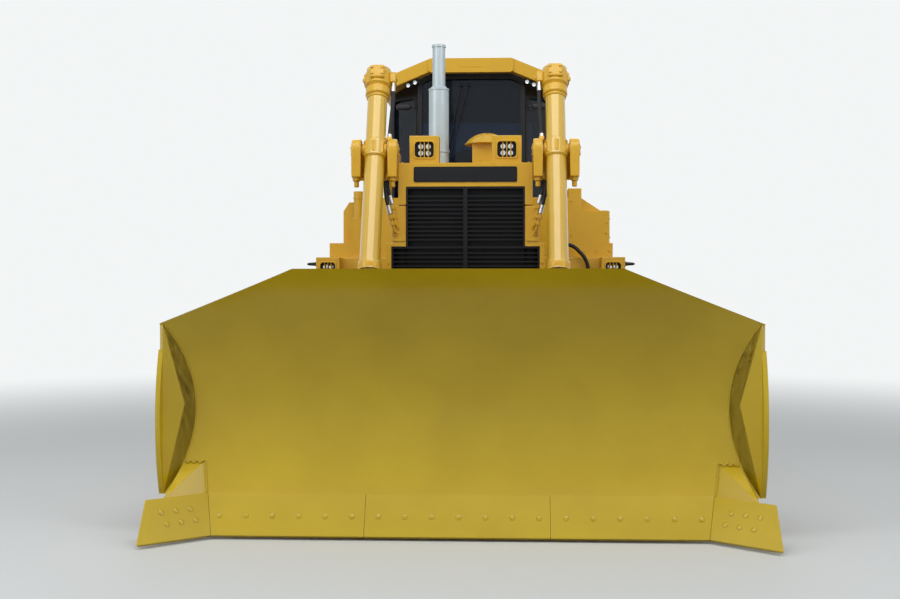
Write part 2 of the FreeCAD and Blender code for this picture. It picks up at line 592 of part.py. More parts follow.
# Cab: a shell with chamfered front corners under a bent roof, its windows and doorways cut.
shellFace = both((("cabHalf", "cabLow"), ("cabHalf", "cabSide"), ("roofFlat", "roofTop - roofThick")))
shellPlan = (("-cabNose", "cabFront"), ("cabNose", "cabFront"), ("cabHalf", "cabCorner"),
             ("cabHalf", "cabRear"),
             ("-cabHalf", "cabRear"), ("-cabHalf", "cabCorner"))
roomFace = both((("cabHalf - cabWall", "cabLow + cabWall"), ("cabHalf - cabWall", "cabSide - cabWall"),
                 ("roofFlat", "roofTop - roofThick - cabWall")))
roomPlan = (("-cabNose + cabWall / 2", "cabFront + cabWall"), ("cabNose - cabWall / 2", "cabFront + cabWall"),
            ("cabHalf - cabWall", "cabCorner + cabWall / 2"), ("cabHalf - cabWall", "cabRear - cabWall"),
            ("-cabHalf + cabWall", "cabRear - cabWall"), ("-cabHalf + cabWall", "cabCorner + cabWall / 2"))
cabHigh = "roofTop - cabLow"
cabLong = "cabRear - cabFront"
shell = common(prism("XZ", "cabFront", cabLong, shellFace), prism("XY", "cabLow", cabHigh, shellPlan))
room = common(prism("XZ", "cabFront", cabLong, roomFace), prism("XY", "cabLow", cabHigh, roomPlan))
windHalf = "(cabNose - 28)"
roofFall = "(roofTop - roofThick - cabSide) / (cabHalf - roofFlat)"
windSide = f"(roofTop - roofThick - 40 - ({windHalf} - roofFlat) * {roofFall})"
windOutline = both(((windHalf, "sillZ"), (windHalf, windSide), ("roofFlat", "roofTop - roofThick - 40")))
windscreen = prism("XZ", "cabFront - 10", "cabWall + 20", windOutline)
rearWindow = box("-cabHalf + 150", "cabRear - cabWall - 10", "sillZ + 150", "2 * cabHalf - 300",
                 "cabWall + 20", "cabSide - 150 - sillZ - 80")
doorways = box("-cabHalf - 10", "doorFront", "doorLow", "2 * cabHalf + 20", "doorRear - doorFront",
               "doorTop - doorLow")
backSide = box("-cabHalf - 10", "doorRear + 90", "sillZ + 100", "2 * cabHalf + 20",
               "cabRear - doorRear - 90 - cabWall - 60", "doorTop - sillZ - 100")
cornerSpan = "sqrt((cabHalf - cabNose)^2 + (cabCorner - cabFront)^2)"


def cornerBlock(wide, thick, low, high, middle):
    """A block square to the left front corner face, centred on it."""
    block = box("0", "0", "0", wide, thick, high)
    holder = group(block)
    holder.Placement = Placement(Vector(), Rotation(Vector(0, 0, 1), 45))
    tie(holder, ".Placement.Rotation.Angle", "atan2(cabCorner - cabFront; cabHalf - cabNose)")
    turn = "atan2(cabCorner - cabFront; cabHalf - cabNose)"
    place(holder, f"(cabNose + cabHalf) / 2 - ({wide}) / 2 * cos({turn}) - ({middle}) * sin({turn})",
          f"(cabFront + cabCorner) / 2 - ({wide}) / 2 * sin({turn}) + ({middle}) * cos({turn})", low)
    return holder


cornerWindow = cornerBlock(f"{cornerSpan} - 70", "cabWall * 3", "sillZ", "cabSide - 50 - sillZ", "-cabWall")
hingeLevels = ("doorLow + hingeUp", "doorTop - hingeUp - 2 * hingeHigh")
shellHinges = []
for level in hingeLevels:
    shellHinges.append(drum("Z", "hingeX", "doorRear", level, "hingeRadius", "hingeHigh"))
    shellHinges.append(box("cabHalf", "doorRear + 3", level, "hingeX - cabHalf", "hingeRadius * 3",
                           "hingeHigh"))
shellHinges = fused(*shellHinges)
openings = [room, windscreen, rearWindow, doorways, backSide, cornerWindow, mirrored(cornerWindow)]
subPart("cab_shell", fused(cut(shell, *openings), shellHinges, mirrored(shellHinges)))

roofOuter = both((("roofHalf", "roofEave - roofThick"), ("roofHalf", "roofEave"), ("roofFlat", "roofTop")))
roofEdge = both((("cabHalf", "cabLow"), ("roofHalf + 10", "cabLow"),
                 ("roofHalf + 10",
                  f"cabSide - (roofHalf + 10 - cabHalf) * {roofFall}"),
                 ("roofFlat", "roofTop - roofThick")))
subPart("cab_roof", cut(prism("XZ", "roofFront", "roofRear - roofFront", roofOuter),
                        prism("XZ", "roofFront - 5", "roofRear - roofFront + 10", roofEdge)))

# Fixed panes stand in the middle of the walls.
paneIn = "(cabWall / 2 - glassThick / 2)"
frontPane = prism("XZ", f"cabFront + {paneIn}", "glassThick", windOutline)
rearPane = box("-cabHalf + 150", f"cabRear - {paneIn} - glassThick", "sillZ + 150", "2 * cabHalf - 300",
               "glassThick", "cabSide - 150 - sillZ - 80")
sidePane = box(f"cabHalf - {paneIn} - glassThick", "doorRear + 90", "sillZ + 100", "glassThick",
               "cabRear - doorRear - 90 - cabWall - 60", "doorTop - sillZ - 100")
cornerPane = cornerBlock(f"{cornerSpan} - 70", "glassThick", "sillZ", "cabSide - 50 - sillZ", "20")
subPart("cab_glass", group(frontPane, rearPane, sidePane, mirrored(sidePane), cornerPane,
                           mirrored(cornerPane)))

# Doors hinge at their rear edges on the cab's outer face.
doorX = "(cabHalf - doorThick + 15)"
doorLong = "doorRear - doorFront - 2 * doorGap"
doorTall = "doorTop - doorLow - 2 * doorGap"
leaf = box(doorX, "doorFront + doorGap", "doorLow + doorGap", "doorThick", doorLong, doorTall)
doorLight = box(f"{doorX} - 5", "doorFront + doorGap + doorFrame", "sillZ", "doorThick + 10",
                f"{doorLong} - 2 * doorFrame",
                "doorTop - doorGap - doorFrame - sillZ")
doorHinges = []
for level in hingeLevels:
    above = f"{level} + hingeHigh + seatGap"
    doorHinges.append(drum("Z", "hingeX", "doorRear", above, "hingeRadius", "hingeHigh"))
    doorHinges.append(box(f"{doorX} + doorThick", "doorRear - hingeRadius * 4", above,
                          f"hingeX - 1 - {doorX} - doorThick", "hingeRadius * 4", "hingeHigh"))
door = subPart("cab_door_left", fused(cut(leaf, doorLight), *doorHinges))
subPart("cab_door_right", mirrored(door))
doorPane = subPart("door_glass_left", box(f"{doorX} + doorThick / 2 - glassThick / 2",
                                          "doorFront + doorGap + doorFrame", "sillZ", "glassThick",
                   f"{doorLong} - 2 * doorFrame", "doorTop - doorGap - doorFrame - sillZ"))
subPart("door_glass_right", mirrored(doorPane))

# Inside the cab: seat on its pedestal, and the console under the windscreen.
seatFloor = "(cabLow + cabWall)"
seatBase = box("-200", "950", seatFloor, "400", "420", "320")
seatPan = box("-260", "860", f"{seatFloor} + 320", "520", "560", "130")
seatBack = prism("YZ", "-250", "500", (("1300", f"{seatFloor} + 400"), ("1420", f"{seatFloor} + 400"),
                                       ("1540", f"{seatFloor} + 1080"), ("1440", f"{seatFloor} + 1080")))
armRests = [box(x, "900", seatFloor, "110", "480", "670") for x in ("-370", "260")]
subPart("operator_seat", fused(seatBase, seatPan, seatBack, *armRests))
console = prism("YZ", "-cabNose + 80", "2 * cabNose - 160",
                (("cabFront + cabWall", seatFloor), ("cabFront + cabWall + 160", seatFloor),
                ("cabFront + cabWall + 240", f"{seatFloor} + 420"),
                ("cabFront + cabWall", f"{seatFloor} + 560")))
subPart("console", console)

# The cab's base rests on the rear case and on two posts from the hull's rails.
deckHigh = "fenderZ + fenderPlate - caseHigh"
deck = box("-hoodHalf", "cabFront", "caseHigh", "2 * hoodHalf", "fenderRear - cabFront", deckHigh)
posts = [box(x, "cabFront", f"{railLow} + railHigh", "railBroad", "120", f"caseHigh - {railLow} - railHigh")
         for x in ("-hullHalf", "hullHalf - railBroad")]
subPart("cab_base", fused(deck, *posts))

# Fenders over the tracks, boxes before the doors, and the tank behind the cab.
fenderOutline = (("hoodHalf", "fenderZ"), ("fenderHalf", "fenderZ"),
                 ("fenderHalf", "fenderZ - 60 + fenderPlate"),
                 ("fenderHalf + 12", "fenderZ - 60 + fenderPlate"),
                 ("fenderHalf + 12", "fenderZ + fenderPlate"),
                 ("hoodHalf", "fenderZ + fenderPlate"))
fender = fused(prism("XZ", "fenderFront", "fenderRear - fenderFront", fenderOutline),
               box("hoodHalf", "fenderFront", "fenderZ - 150", "fenderHalf - hoodHalf", "fenderPlate", "160"))
subPart("fenders", group(fender, mirrored(fender)))
cowl = box("hoodHalf", "boxFront", "fenderZ + fenderPlate", "boxInner - hoodHalf", "fenderPlate",
           "cowlTop - fenderZ - fenderPlate")
foot = (("boxInner", "fenderZ + fenderPlate"), ("footHalf", "fenderZ + fenderPlate"), ("footHalf", "footTop"),
        ("boxInner", "footTop"))
boxLong = "boxRear - boxFront"
chest = box("boxInner", "boxFront", "footTop", "boxHalf - boxInner", boxLong, "boxTop - footTop")
tower = box("boxInner", "boxFront", "boxTop", "towerHalf - boxInner", "180", "towerTop - boxTop")
bracket = prism("XZ", "boxFront + 60", "12", (("towerHalf", "boxTop"), ("bracketHalf", "boxTop"),
                                              ("towerHalf", "towerTop - 80")))
subPart("battery_box", fused(prism("XZ", "boxFront", boxLong, foot), chest, tower, bracket, cowl))
slope = (("boxInner", "footTop"), ("tankBoxHalf", "footTop"), ("tankBoxHalf", "tankBoxTop - tankBoxSlope"),
         ("tankBoxHalf - tankBoxSlope * 0.65", "tankBoxTop"), ("boxInner", "tankBoxTop"))
step = box("boxInner", "boxFront", "footTop", "fillerX + fillerRadius - boxInner", "110",
           "fillerFoot - footTop")
filler = drum("Z", "fillerX", "boxFront + 55", "fillerFoot", "fillerRadius", "fillerTop - fillerFoot")
flange = drum("Z", "fillerX", "boxFront + 55", "fillerFoot", "fillerRadius + 8", "14")
hydraulic = fused(prism("XZ", "boxFront", boxLong, foot),
                  prism("XZ", "boxFront + 110", f"{boxLong} - 110", slope), step, filler, flange, cowl)
subPart("hydraulic_tank", mirrored(hydraulic))
tank = prism("YZ", "-tankHalf", "2 * tankHalf",
             (("cabRear", "tankLow"), ("tankRear - 120", "tankLow"), ("tankRear", "tankLow + 120"),
             ("tankRear", "tankTop - 160"), ("tankRear - 160", "tankTop"), ("cabRear", "tankTop")))
subPart("fuel_tank", tank)
fenderLamp = lamp("fenderHalf - 28", "fenderFront - lampDeep", "fenderZ + fenderPlate - lampHigh",
                  "sideLampWide")
subPart("fender_lamps", group(fenderLamp, mirrored(fenderLamp)))


# Blade: the bowl is an arc that leaves the cutting edge at its lean. Flat wings close it, turned forwards.
lean = math.radians(size("edgeLean"))
bowlFootY = size("edgeY") + size("edgeHigh") / math.tan(lean)
bowlFootZ = size("edgeZ") + size("edgeHigh")
bowlY = bowlFootY - size("bowlRadius") * math.sin(lean)
bowlZ = bowlFootZ + size("bowlRadius") * math.cos(lean)


def bowlPoint(radius, z):
    return Vector(0, bowlY + math.sqrt(radius ** 2 - (z - bowlZ) ** 2), z)


def footLine(inner, outer, low):
    """The straight foot under the arcs, down its back, along its end and up its front."""
    down = Vector(0, -math.cos(lean), -math.sin(lean)) * size("edgeHigh") * 0.62
    back, front = bowlPoint(outer, low), bowlPoint(inner, low)
    return [back, back + down, front + down, front]


def bowlSection(inner, outer, low, high):
    """The face between two arcs about the bowl's centre, with the foot that the edge is bolted to."""
    middle = (low + high) / 2
    front = Part.Arc(bowlPoint(inner, low), bowlPoint(inner, middle), bowlPoint(inner, high)).toShape()
    rear = Part.Arc(bowlPoint(outer, high), bowlPoint(outer, middle), bowlPoint(outer, low)).toShape()
    top = Part.LineSegment(bowlPoint(inner, high), bowlPoint(outer, high)).toShape()
    foot = Part.makePolygon(footLine(inner, outer, low))
    return Part.Face(Part.Wire([front, top, rear] + foot.Edges))


turn = math.radians(size("wingTurn"))
wingAlong = Vector(math.cos(turn), -math.sin(turn), 0)
wingOut = Vector(math.sin(turn), math.cos(turn), 0)


def slab(foot, along, out, low, high):
    """An upright block: its plan starts at foot and spans both ways given, each as (direction, from, to)."""
    (ahead, near, far), (side, inner, outer) = along, out
    outline = [foot + ahead * a + side * b for a,
               b in ((near, inner), (far, inner), (far, outer), (near, outer))]
    whole = Part.Face(Part.makePolygon(outline + outline[:1])).extrude(Vector(0, 0, high - low))
    whole.translate(Vector(0, 0, low))
    return whole


def outsideJoint(away, high):
    """All that lies outside the left joint's bisecting plane, moved outwards by a distance."""
    half = turn / 2
    joint = Vector(size("bladeMid"), size("edgeY"), 0)
    far = size("bladeMid")
    back = Vector(math.sin(half), math.cos(half), 0)
    return slab(joint, (back, -far, far), (Vector(math.cos(half), -math.sin(half), 0), away, far), 0, high)


def flipped(shape):
    return shape.mirror(Vector(), Vector(1, 0, 0))


def alongMiddle(face, gap):
    """A section carried between the two joints and ending on their bisecting planes."""
    reach = size("bladeMid") + size("bowlRadius") / 2
    whole = face.extrude(Vector(2 * reach, 0, 0))
    whole.translate(Vector(-reach, 0, 0))
    block = outsideJoint(-gap / 2, size("bladeTop"))
    return whole.cut([block, flipped(block)])


def alongWing(face, gap):
    """The same section turned at the left joint and carried out along the wing."""
    reach = size("bowlRadius") / 2
    whole = face.extrude(Vector(reach + size("wingLong"), 0, 0))
    whole.translate(Vector(size("bladeMid") - reach, 0, 0))
    whole.rotate(Vector(size("bladeMid"), size("edgeY"), 0), Vector(0, 0, 1), -size("wingTurn"))
    return whole.common(outsideJoint(gap / 2, size("bladeTop")))


def makePatch():
    """The filler behind the corner plate, from the bowl and the wing forwards to the end bit's top."""
    inner = size("bowlRadius") + size("bowlPlate") * 0.6
    slope = math.tan(turn / 2)

    def onJoint(z):
        spot = bowlPoint(inner, z)
        return Vector(size("bladeMid") + (spot.y - size("edgeY")) * slope, spot.y, z)

    def onWing(z):
        spot = bowlPoint(inner, z)
        deepest = bowlY + size("bowlRadius")
        return Vector(size("wingX") + (deepest - spot.y) / math.tan(turn) + 10, spot.y, z)

    low, high = bowlFootZ, size("patchTop")
    front = onJoint(low) + Vector(0, bowlPoint(size("bowlRadius"), low).y - bowlPoint(inner, low).y, 0)
    a, b, d, e = onJoint(high), onJoint(low), onWing(high), onWing(low)
    c = front + wingAlong * size("patchLong")
    faces = [(a, b, c), (a, c, d), (b, e, c), (a, d, e), (a, e, b), (c, e, d)]
    return Part.Solid(Part.makeShell([Part.Face(Part.makePolygon(list(face) + [face[0]])) for face in faces]))


def makeBowl():
    """The bowl between two flat wings, with corner plates, end caps on the wings, and its top corners cut."""
    inner = size("bowlRadius")
    outer = inner + size("bowlPlate")
    low, high = bowlFootZ, size("bladeTop")
    deepest = Vector(size("wingX"), bowlY + inner, 0)
    front = (size("wingHalf") - size("wingX")) / math.cos(turn)
    plate = size("sidePlate")
    section = bowlSection(inner, outer, low, high)
    reach = size("wingHalf") + 4 * plate
    whole = section.extrude(Vector(2 * reach, 0, 0))
    whole.translate(Vector(-reach, 0, 0))
    past = slab(deepest, (wingAlong, -reach, reach), (wingOut, plate / 2, reach), 0, 2 * high)
    beyond = outsideJoint(0, low)
    whole = whole.cut([past, flipped(past), beyond, flipped(beyond)])
    drumTool = Part.makeCylinder(outer, 2 * reach, Vector(-reach, bowlY, bowlZ), Vector(1, 0, 0))
    wing = slab(deepest, (wingAlong, -reach / 3, front), (wingOut, 0, plate), low, high).common(drumTool)
    footEdge = footLine(inner, outer, low)
    foot = alongWing(Part.Face(Part.makePolygon(footEdge + footEdge[:1])), 0)
    foot = foot.common(Part.makeBox(size("bitHalf") - 2 * plate, 4 * inner, high, Vector(0, -4 * inner, 0)))
    capX = size("wingHalf")
    tip = deepest + wingAlong * front
    topY = tip.y + plate / 4
    lowEnd, highEnd = Vector(capX, topY, low), Vector(capX, topY, size("capTop"))
    middle = Vector(capX, topY - size("capOut"), (low + size("capTop")) / 2)
    backLow, backHigh = Vector(capX, topY + 5 * plate, low), Vector(capX, topY + 5 * plate, size("capTop"))
    capEdges = [Part.Arc(lowEnd, middle, highEnd).toShape()] + Part.makePolygon([highEnd, backHigh, backLow,
                                                                                 lowEnd]).Edges
    cap = Part.Face(Part.Wire(capEdges)).extrude(Vector(size("capPlate"), 0, 0))
    side = wing.multiFuse([foot, makePatch(), cap])
    fall = (high - size("cornerZ")) / (size("wingHalf") - size("cornerX"))
    corners = []
    for over in (-1, 1):
        outline = [Vector(over * size("cornerX"), -5 * inner, high),
                   Vector(over * reach, -5 * inner, high - fall * (reach - size("cornerX"))),
                   Vector(over * reach, -5 * inner, 2 * high),
                   Vector(over * size("cornerX"), -5 * inner, 2 * high)]
        corners.append(Part.Face(Part.makePolygon(outline + outline[:1])).extrude(Vector(0, 5 * inner, 0)))
    return whole.multiFuse([side, flipped(side)]).cut(corners).removeSplitter()


subPart("blade_bowl", madeShape(makeBowl()))


# Cutting edge and end bits: flat plates before the bowl's foot, the bits following the wings.
def edgeFace():
    along = Vector(0, math.cos(lean), math.sin(lean)) * (size("edgeHigh") / math.sin(lean))
    out = Vector(0, -math.sin(lean), math.cos(lean)) * size("edgeThick")
    foot = Vector(0, size("edgeY"), size("edgeZ"))
    return Part.Face(Part.makePolygon([foot, foot + along, foot + along + out, foot + out, foot]))


gap = size("jointGap")
subPart("cutting_edge", madeShape(alongMiddle(edgeFace(), gap)))
limit = Part.makeBox(size("bitHalf"), 4 * size("bowlRadius"), size("bladeTop"),
                     Vector(0, -4 * size("bowlRadius"), 0))
bit = alongWing(edgeFace(), gap).common(limit)
subPart("end_bits", group(madeShape(bit), madeShape(flipped(bit))))

# Frame behind the bowl: beams and ribs that end on the bowl's back, with lugs for the rods and braces.
arcY = "(edgeY + edgeHigh / tan(edgeLean) - bowlRadius * sin(edgeLean))"
arcZ = "(edgeZ + edgeHigh + bowlRadius * cos(edgeLean))"
crate = box("-backHalf", "edgeY", "backLow", "2 * backHalf", "backY - edgeY", "backTop - backLow")
arcTool = drum("X", "-backHalf - 10", arcY, arcZ, "bowlRadius + bowlPlate + seatGap", "2 * backHalf + 20")
pockets = []
for low, long in (("20", "liftX - 110"), ("liftX + 90", "armX - armWide / 2 - 5 - liftX - 90")):
    for bottom, top in (("backLow + 230", "eyeZ + 120"), ("eyeZ + 230", "backTop - beamHigh")):
        for x in (low, f"-({low}) - ({long})"):
            pockets.append(box(x, "edgeY", bottom, long, "backY - edgeY + 10", f"{top} - ({bottom})"))


def lugs(x, y, z, gap, plate, radius, pinRadius, base, baseZ, towards):
    """A pair of ears with a pin through them, standing on a face at base."""
    pieces = []
    for low in (f"{x} - ({gap}) / 2 - ({plate})", f"{x} + ({gap}) / 2"):
        pieces.append(drum("X", low, y, z, radius, plate))
        if towards == "Y":
            pieces.append(box(low, base, f"{z} - ({radius})", plate, f"{y} - ({base})", f"2 * ({radius})"))
        else:
            pieces.append(box(low, f"{y} - ({radius})", baseZ, plate, f"2 * ({radius})", f"{z} - ({baseZ})"))
    pieces.append(drum("X", f"{x} - ({gap}) / 2 - ({plate}) - 14", y, z, pinRadius,
                       f"({gap}) + 2 * ({plate}) + 28"))
    return pieces


liftLugs = lugs("liftX", "eyeY", "eyeZ", "eyeWide + 2 * lugGap", "lugPlate", "75", "liftPin", "backY", "0",
                "Y")
braceLugs = lugs("braceX", "braceEndY", "braceEndZ", "80", "22", "62", "bracePin", "backY", "0", "Y")
ears = fused(*liftLugs, *braceLugs)
subPart("blade_frame", fused(cut(crate, arcTool, *pockets), ears, mirrored(ears)))

# Push arms run outside the tracks from their trunnions to the blade frame.
armBar = box("armX - armWide / 2", "backY", "armZ - armHigh / 2", "armWide", "armY - backY", "armHigh")
armEye = drum("X", "armX - armWide / 2", "armY", "armZ", "armEye", "armWide")
armHole = drum("X", "armX - armWide / 2 - 5", "armY", "armZ", "armPin + 1", "armWide + 10")
armLugs = lugs("braceX", "braceY", "braceZ", "80", "22", "62", "bracePin", "0", "armZ + armHigh / 2", "Z")
pushArm = fused(cut(fused(armBar, armEye), armHole), *armLugs)
subPart("push_arms", group(pushArm, mirrored(pushArm)))

# Braces between the arms and the blade's shoulders: a tilt cylinder on the left, a screw brace on the right.
braceLong = "sqrt((braceY - braceEndY)^2 + (braceEndZ - braceZ)^2)"


def strut(pieces):
    eyes = [drum("X", "braceX - 36", "0", z, "braceEye - 5", "72") for z in ("0", braceLong)]
    holes = [drum("X", "braceX - 60", "0", z, "bracePin + seatGap", "120") for z in ("0", braceLong)]
    whole = cut(fused(*eyes, *pieces), *holes)
    whole.Placement = Placement(Vector(), Rotation(Vector(1, 0, 0), 45))
    tie(whole, ".Placement.Rotation.Angle", "atan2(braceY - braceEndY; braceEndZ - braceZ)")
    place(whole, "0", "braceY", "braceZ")
    return whole


neck = drum("Z", "braceX", "0", "40", "34", "60")
tiltBarrel = drum("Z", "braceX", "0", "90", "braceRadius + 12", f"{braceLong} * 0.58")
tiltRod = drum("Z", "braceX", "0", f"{braceLong} * 0.6", "33", f"{braceLong} * 0.4 - 20")
subPart("tilt_cylinder", strut([neck, tiltBarrel, tiltRod]))
neck = drum("Z", "braceX", "0", "40", "34", "60")
sleeve = drum("Z", "braceX", "0", "90", "braceRadius", f"{braceLong} * 0.45")
screw = drum("Z", "braceX", "0", f"{braceLong} * 0.4", "33", f"{braceLong} * 0.6 - 20")
subPart("tilt_brace", mirrored(strut([neck, sleeve, screw])))


# Lift cylinders: barrels in the yokes, rods down to the blade frame's lugs.
def leaning(whole, y, z):
    """Stands a piece made upright along its cylinder, from the rod's eye towards the trunnion."""
    whole.Placement = Placement(Vector(), Rotation(Vector(-1, 0, 0), 20))
    tie(whole, ".Placement.Rotation.Angle", "atan2(trunnionY - eyeY; trunnionZ - eyeZ)")
    place(whole, "0", y, z)
    return whole


tube = drum("Z", "liftX", "0", "-barrelBelow", "barrelRadius", "barrelBelow + barrelAbove")
collar = drum("Z", "liftX", "0", "-collarLong / 2", "collarRadius", "collarLong")
headCap = drum("Z", "liftX", "0", "barrelAbove - 140", "barrelRadius + 22", "140")
gland = drum("Z", "liftX", "0", "-barrelBelow", "barrelRadius + 10", "70")
trunnions = drum("X", "liftX - yokeInside - yokePlate + 4", "0", "0", "yokePin",
                 "2 * (yokeInside + yokePlate) - 8")
boreRoom = drum("Z", "liftX", "0", "70 - barrelBelow", "barrelBore", "barrelBelow + barrelAbove - 180")
rodRoom = drum("Z", "liftX", "0", "-barrelBelow - 5", "rodRadius + 1", "80")
barrelLeft = subPart("lift_barrel_left", leaning(cut(fused(tube, collar, headCap, gland, trunnions),
                                                     boreRoom, rodRoom), "trunnionY", "trunnionZ"))
subPart("lift_barrel_right", mirrored(barrelLeft))
rodBar = drum("Z", "liftX", "0", "0", "rodRadius", "rodLong")
piston = drum("Z", "liftX", "0", "rodLong - 80", "barrelBore - 1", "80")
rodEye = drum("X", "liftX - eyeWide / 2", "0", "0", "eyeRadius", "eyeWide")
eyeHole = drum("X", "liftX - eyeWide", "0", "0", "eyeBore", "2 * eyeWide")
rodLeft = subPart("lift_rod_left", leaning(cut(fused(rodBar, piston, rodEye), eyeHole), "eyeY", "eyeZ"))
subPart("lift_rod_right", mirrored(rodLeft))

doc.recompute()
for thing in doc.Objects:
    if "Invalid" in thing.State or "Error" in thing.State:
        raise RuntimeError(f"{thing.Label} did not build")
os.makedirs("parts", exist_ok=True)
for piece in subParts:
    if piece.Shape.isNull() or not piece.Shape.isValid() or not piece.Shape.Solids:
        raise RuntimeError(f"{piece.Label} is not a valid solid")
    piece.Shape.exportStep(f"parts/{piece.Label}.step")
    room = piece.Shape.BoundBox
    print(f"{piece.Label:20s} {len(piece.Shape.Solids):3d} solids  x {room.XMin:7.0f} {room.XMax:7.0f}"
          f"  y {room.YMin:7.0f} {room.YMax:7.0f}  z {room.ZMin:7.0f} {room.ZMax:7.0f}")
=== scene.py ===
import math
import bmesh
import bpy
import numpy as np
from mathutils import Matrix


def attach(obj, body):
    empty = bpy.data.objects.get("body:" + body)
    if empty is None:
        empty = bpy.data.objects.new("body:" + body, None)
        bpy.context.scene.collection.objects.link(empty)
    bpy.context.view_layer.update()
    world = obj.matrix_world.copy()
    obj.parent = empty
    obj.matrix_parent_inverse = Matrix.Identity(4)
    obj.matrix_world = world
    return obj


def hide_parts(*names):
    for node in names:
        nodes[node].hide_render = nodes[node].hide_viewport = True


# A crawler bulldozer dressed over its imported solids. Metres, +Z up, the machine drives towards -Y.
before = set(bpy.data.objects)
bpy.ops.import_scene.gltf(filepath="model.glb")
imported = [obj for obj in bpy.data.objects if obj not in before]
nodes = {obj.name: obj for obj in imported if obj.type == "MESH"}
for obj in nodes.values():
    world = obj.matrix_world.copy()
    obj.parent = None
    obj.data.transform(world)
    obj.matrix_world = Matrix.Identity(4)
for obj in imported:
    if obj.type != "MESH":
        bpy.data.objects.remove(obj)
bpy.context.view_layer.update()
scene = bpy.context.scene
print("frame loaded:", len(nodes), "nodes")

# ---- camera, floor and light
shot = {"eye": (0.279, -10.32, 1.646), "pixels": 1180.0, "yaw": 2.528, "pitch": -0.796}
camera = bpy.data.objects.new("camera", bpy.data.cameras.new("camera"))
scene.collection.objects.link(camera)
camera.data.sensor_fit = "HORIZONTAL"
camera.data.sensor_width = 36.0
camera.data.lens = 36.0 * shot["pixels"] / 900.0
camera.data.clip_end = 200.0
camera.location = shot["eye"]
camera.rotation_euler = (math.radians(90.0 + shot["pitch"]), 0.0, math.radians(shot["yaw"]))
scene.camera = camera
scene.view_settings.view_transform = "Standard"


def backgroundRay(tree):
    # 1 where a ray comes from the camera, a mirror or a pane, else 0
    path = tree.nodes.new("ShaderNodeLightPath")
    total = path.outputs["Is Camera Ray"]
    for ray in ("Is Glossy Ray", "Is Transmission Ray"):
        more = tree.nodes.new("ShaderNodeMath")
        more.operation = "MAXIMUM"
        tree.links.new(total, more.inputs[0])
        tree.links.new(path.outputs[ray], more.inputs[1])
        total = more.outputs[0]
    return total


stageLook = {"size": 60.0, "pale": (0.90, 0.92, 0.92, 1.0), "near": (0.62, 0.64, 0.64, 1.0), "under": (0.42, 0.43, 0.42, 1.0)}


def makeFloor():
    # seen directly the floor pales with distance to the wall's tone: a shaded part near the machine is mixed
    # with plain light by the distance from the origin
    half = stageLook["size"]
    mesh = bpy.data.meshes.new("floor")
    mesh.from_pydata([(-half, -half, 0), (half, -half, 0), (half, half, 0), (-half, half, 0)], [], [(0, 1, 2, 3)])
    floor = bpy.data.objects.new("floor", mesh)
    scene.collection.objects.link(floor)
    material = bpy.data.materials.new("floorPaint")
    material.use_nodes = True
    tree = material.node_tree
    shader = tree.nodes["Principled BSDF"]
    shader.inputs["Roughness"].default_value = 0.8
    seen = backgroundRay(tree)
    mix = tree.nodes.new("ShaderNodeMix")
    mix.data_type = "RGBA"
    mix.inputs["A"].default_value = stageLook["under"]
    mix.inputs["B"].default_value = stageLook["near"]
    tree.links.new(seen, mix.inputs["Factor"])
    tree.links.new(mix.outputs["Result"], shader.inputs["Base Color"])
    glow = tree.nodes.new("ShaderNodeEmission")
    glow.inputs["Color"].default_value = stageLook["pale"]
    away = tree.nodes.new("ShaderNodeVectorMath")
    away.operation = "LENGTH"
    tree.links.new(tree.nodes.new("ShaderNodeTexCoord").outputs["Object"], away.inputs[0])
    fade = tree.nodes.new("ShaderNodeMapRange")
    fade.interpolation_type = "SMOOTHSTEP"
    fade.inputs["From Min"].default_value = 4.0
    fade.inputs["From Max"].default_value = 13.0
    tree.links.new(away.outputs["Value"], fade.inputs["Value"])
    both = tree.nodes.new("ShaderNodeMath")
    both.operation = "MULTIPLY"
    tree.links.new(fade.outputs["Result"], both.inputs[0])
    tree.links.new(seen, both.inputs[1])
    blend = tree.nodes.new("ShaderNodeMixShader")
    tree.links.new(both.outputs[0], blend.inputs[0])
    tree.links.new(shader.outputs[0], blend.inputs[1])
    tree.links.new(glow.outputs[0], blend.inputs[2])
    tree.links.new(blend.outputs[0], tree.nodes["Material Output"].inputs["Surface"])
    mesh.materials.append(material)


def makeWorld():
    world = bpy.data.worlds.new("hall")
    scene.world = world
    world.use_nodes = True
    tree = world.node_tree
    tree.nodes.clear()
    shown = tree.nodes.new("ShaderNodeBackground")
    shown.inputs["Color"].default_value = stageLook["pale"]
    shown.inputs["Strength"].default_value = 1.0
    lit = tree.nodes.new("ShaderNodeBackground")
    lit.inputs["Color"].default_value = (0.92, 0.95, 1.0, 1)
    lit.inputs["Strength"].default_value = 0.36
    mix = tree.nodes.new("ShaderNodeMixShader")
    out = tree.nodes.new("ShaderNodeOutputWorld")
    tree.links.new(backgroundRay(tree), mix.inputs[0])
    tree.links.new(lit.outputs[0], mix.inputs[1])
    tree.links.new(shown.outputs[0], mix.inputs[2])
    tree.links.new(mix.outputs[0], out.inputs["Surface"])


# each lamp: place, the point it faces, its sides and its power in watts
lampRig = {
    "roofLight": ((0.0, -5.5, 8.5), (0.0, -2.0, 0.8), (9.0, 5.0), 400.0),
    "leftLight": ((-7.5, -7.0, 5.5), (0.0, -1.5, 1.2), (4.0, 4.0), 205.0),
    "rightLight": ((7.5, -6.5, 5.5), (0.0, -1.5, 1.2), (4.0, 4.0), 130.0),
    "backLight": ((0.0, 8.5, 7.0), (0.0, 0.0, 1.5), (9.0, 4.0), 200.0),
}


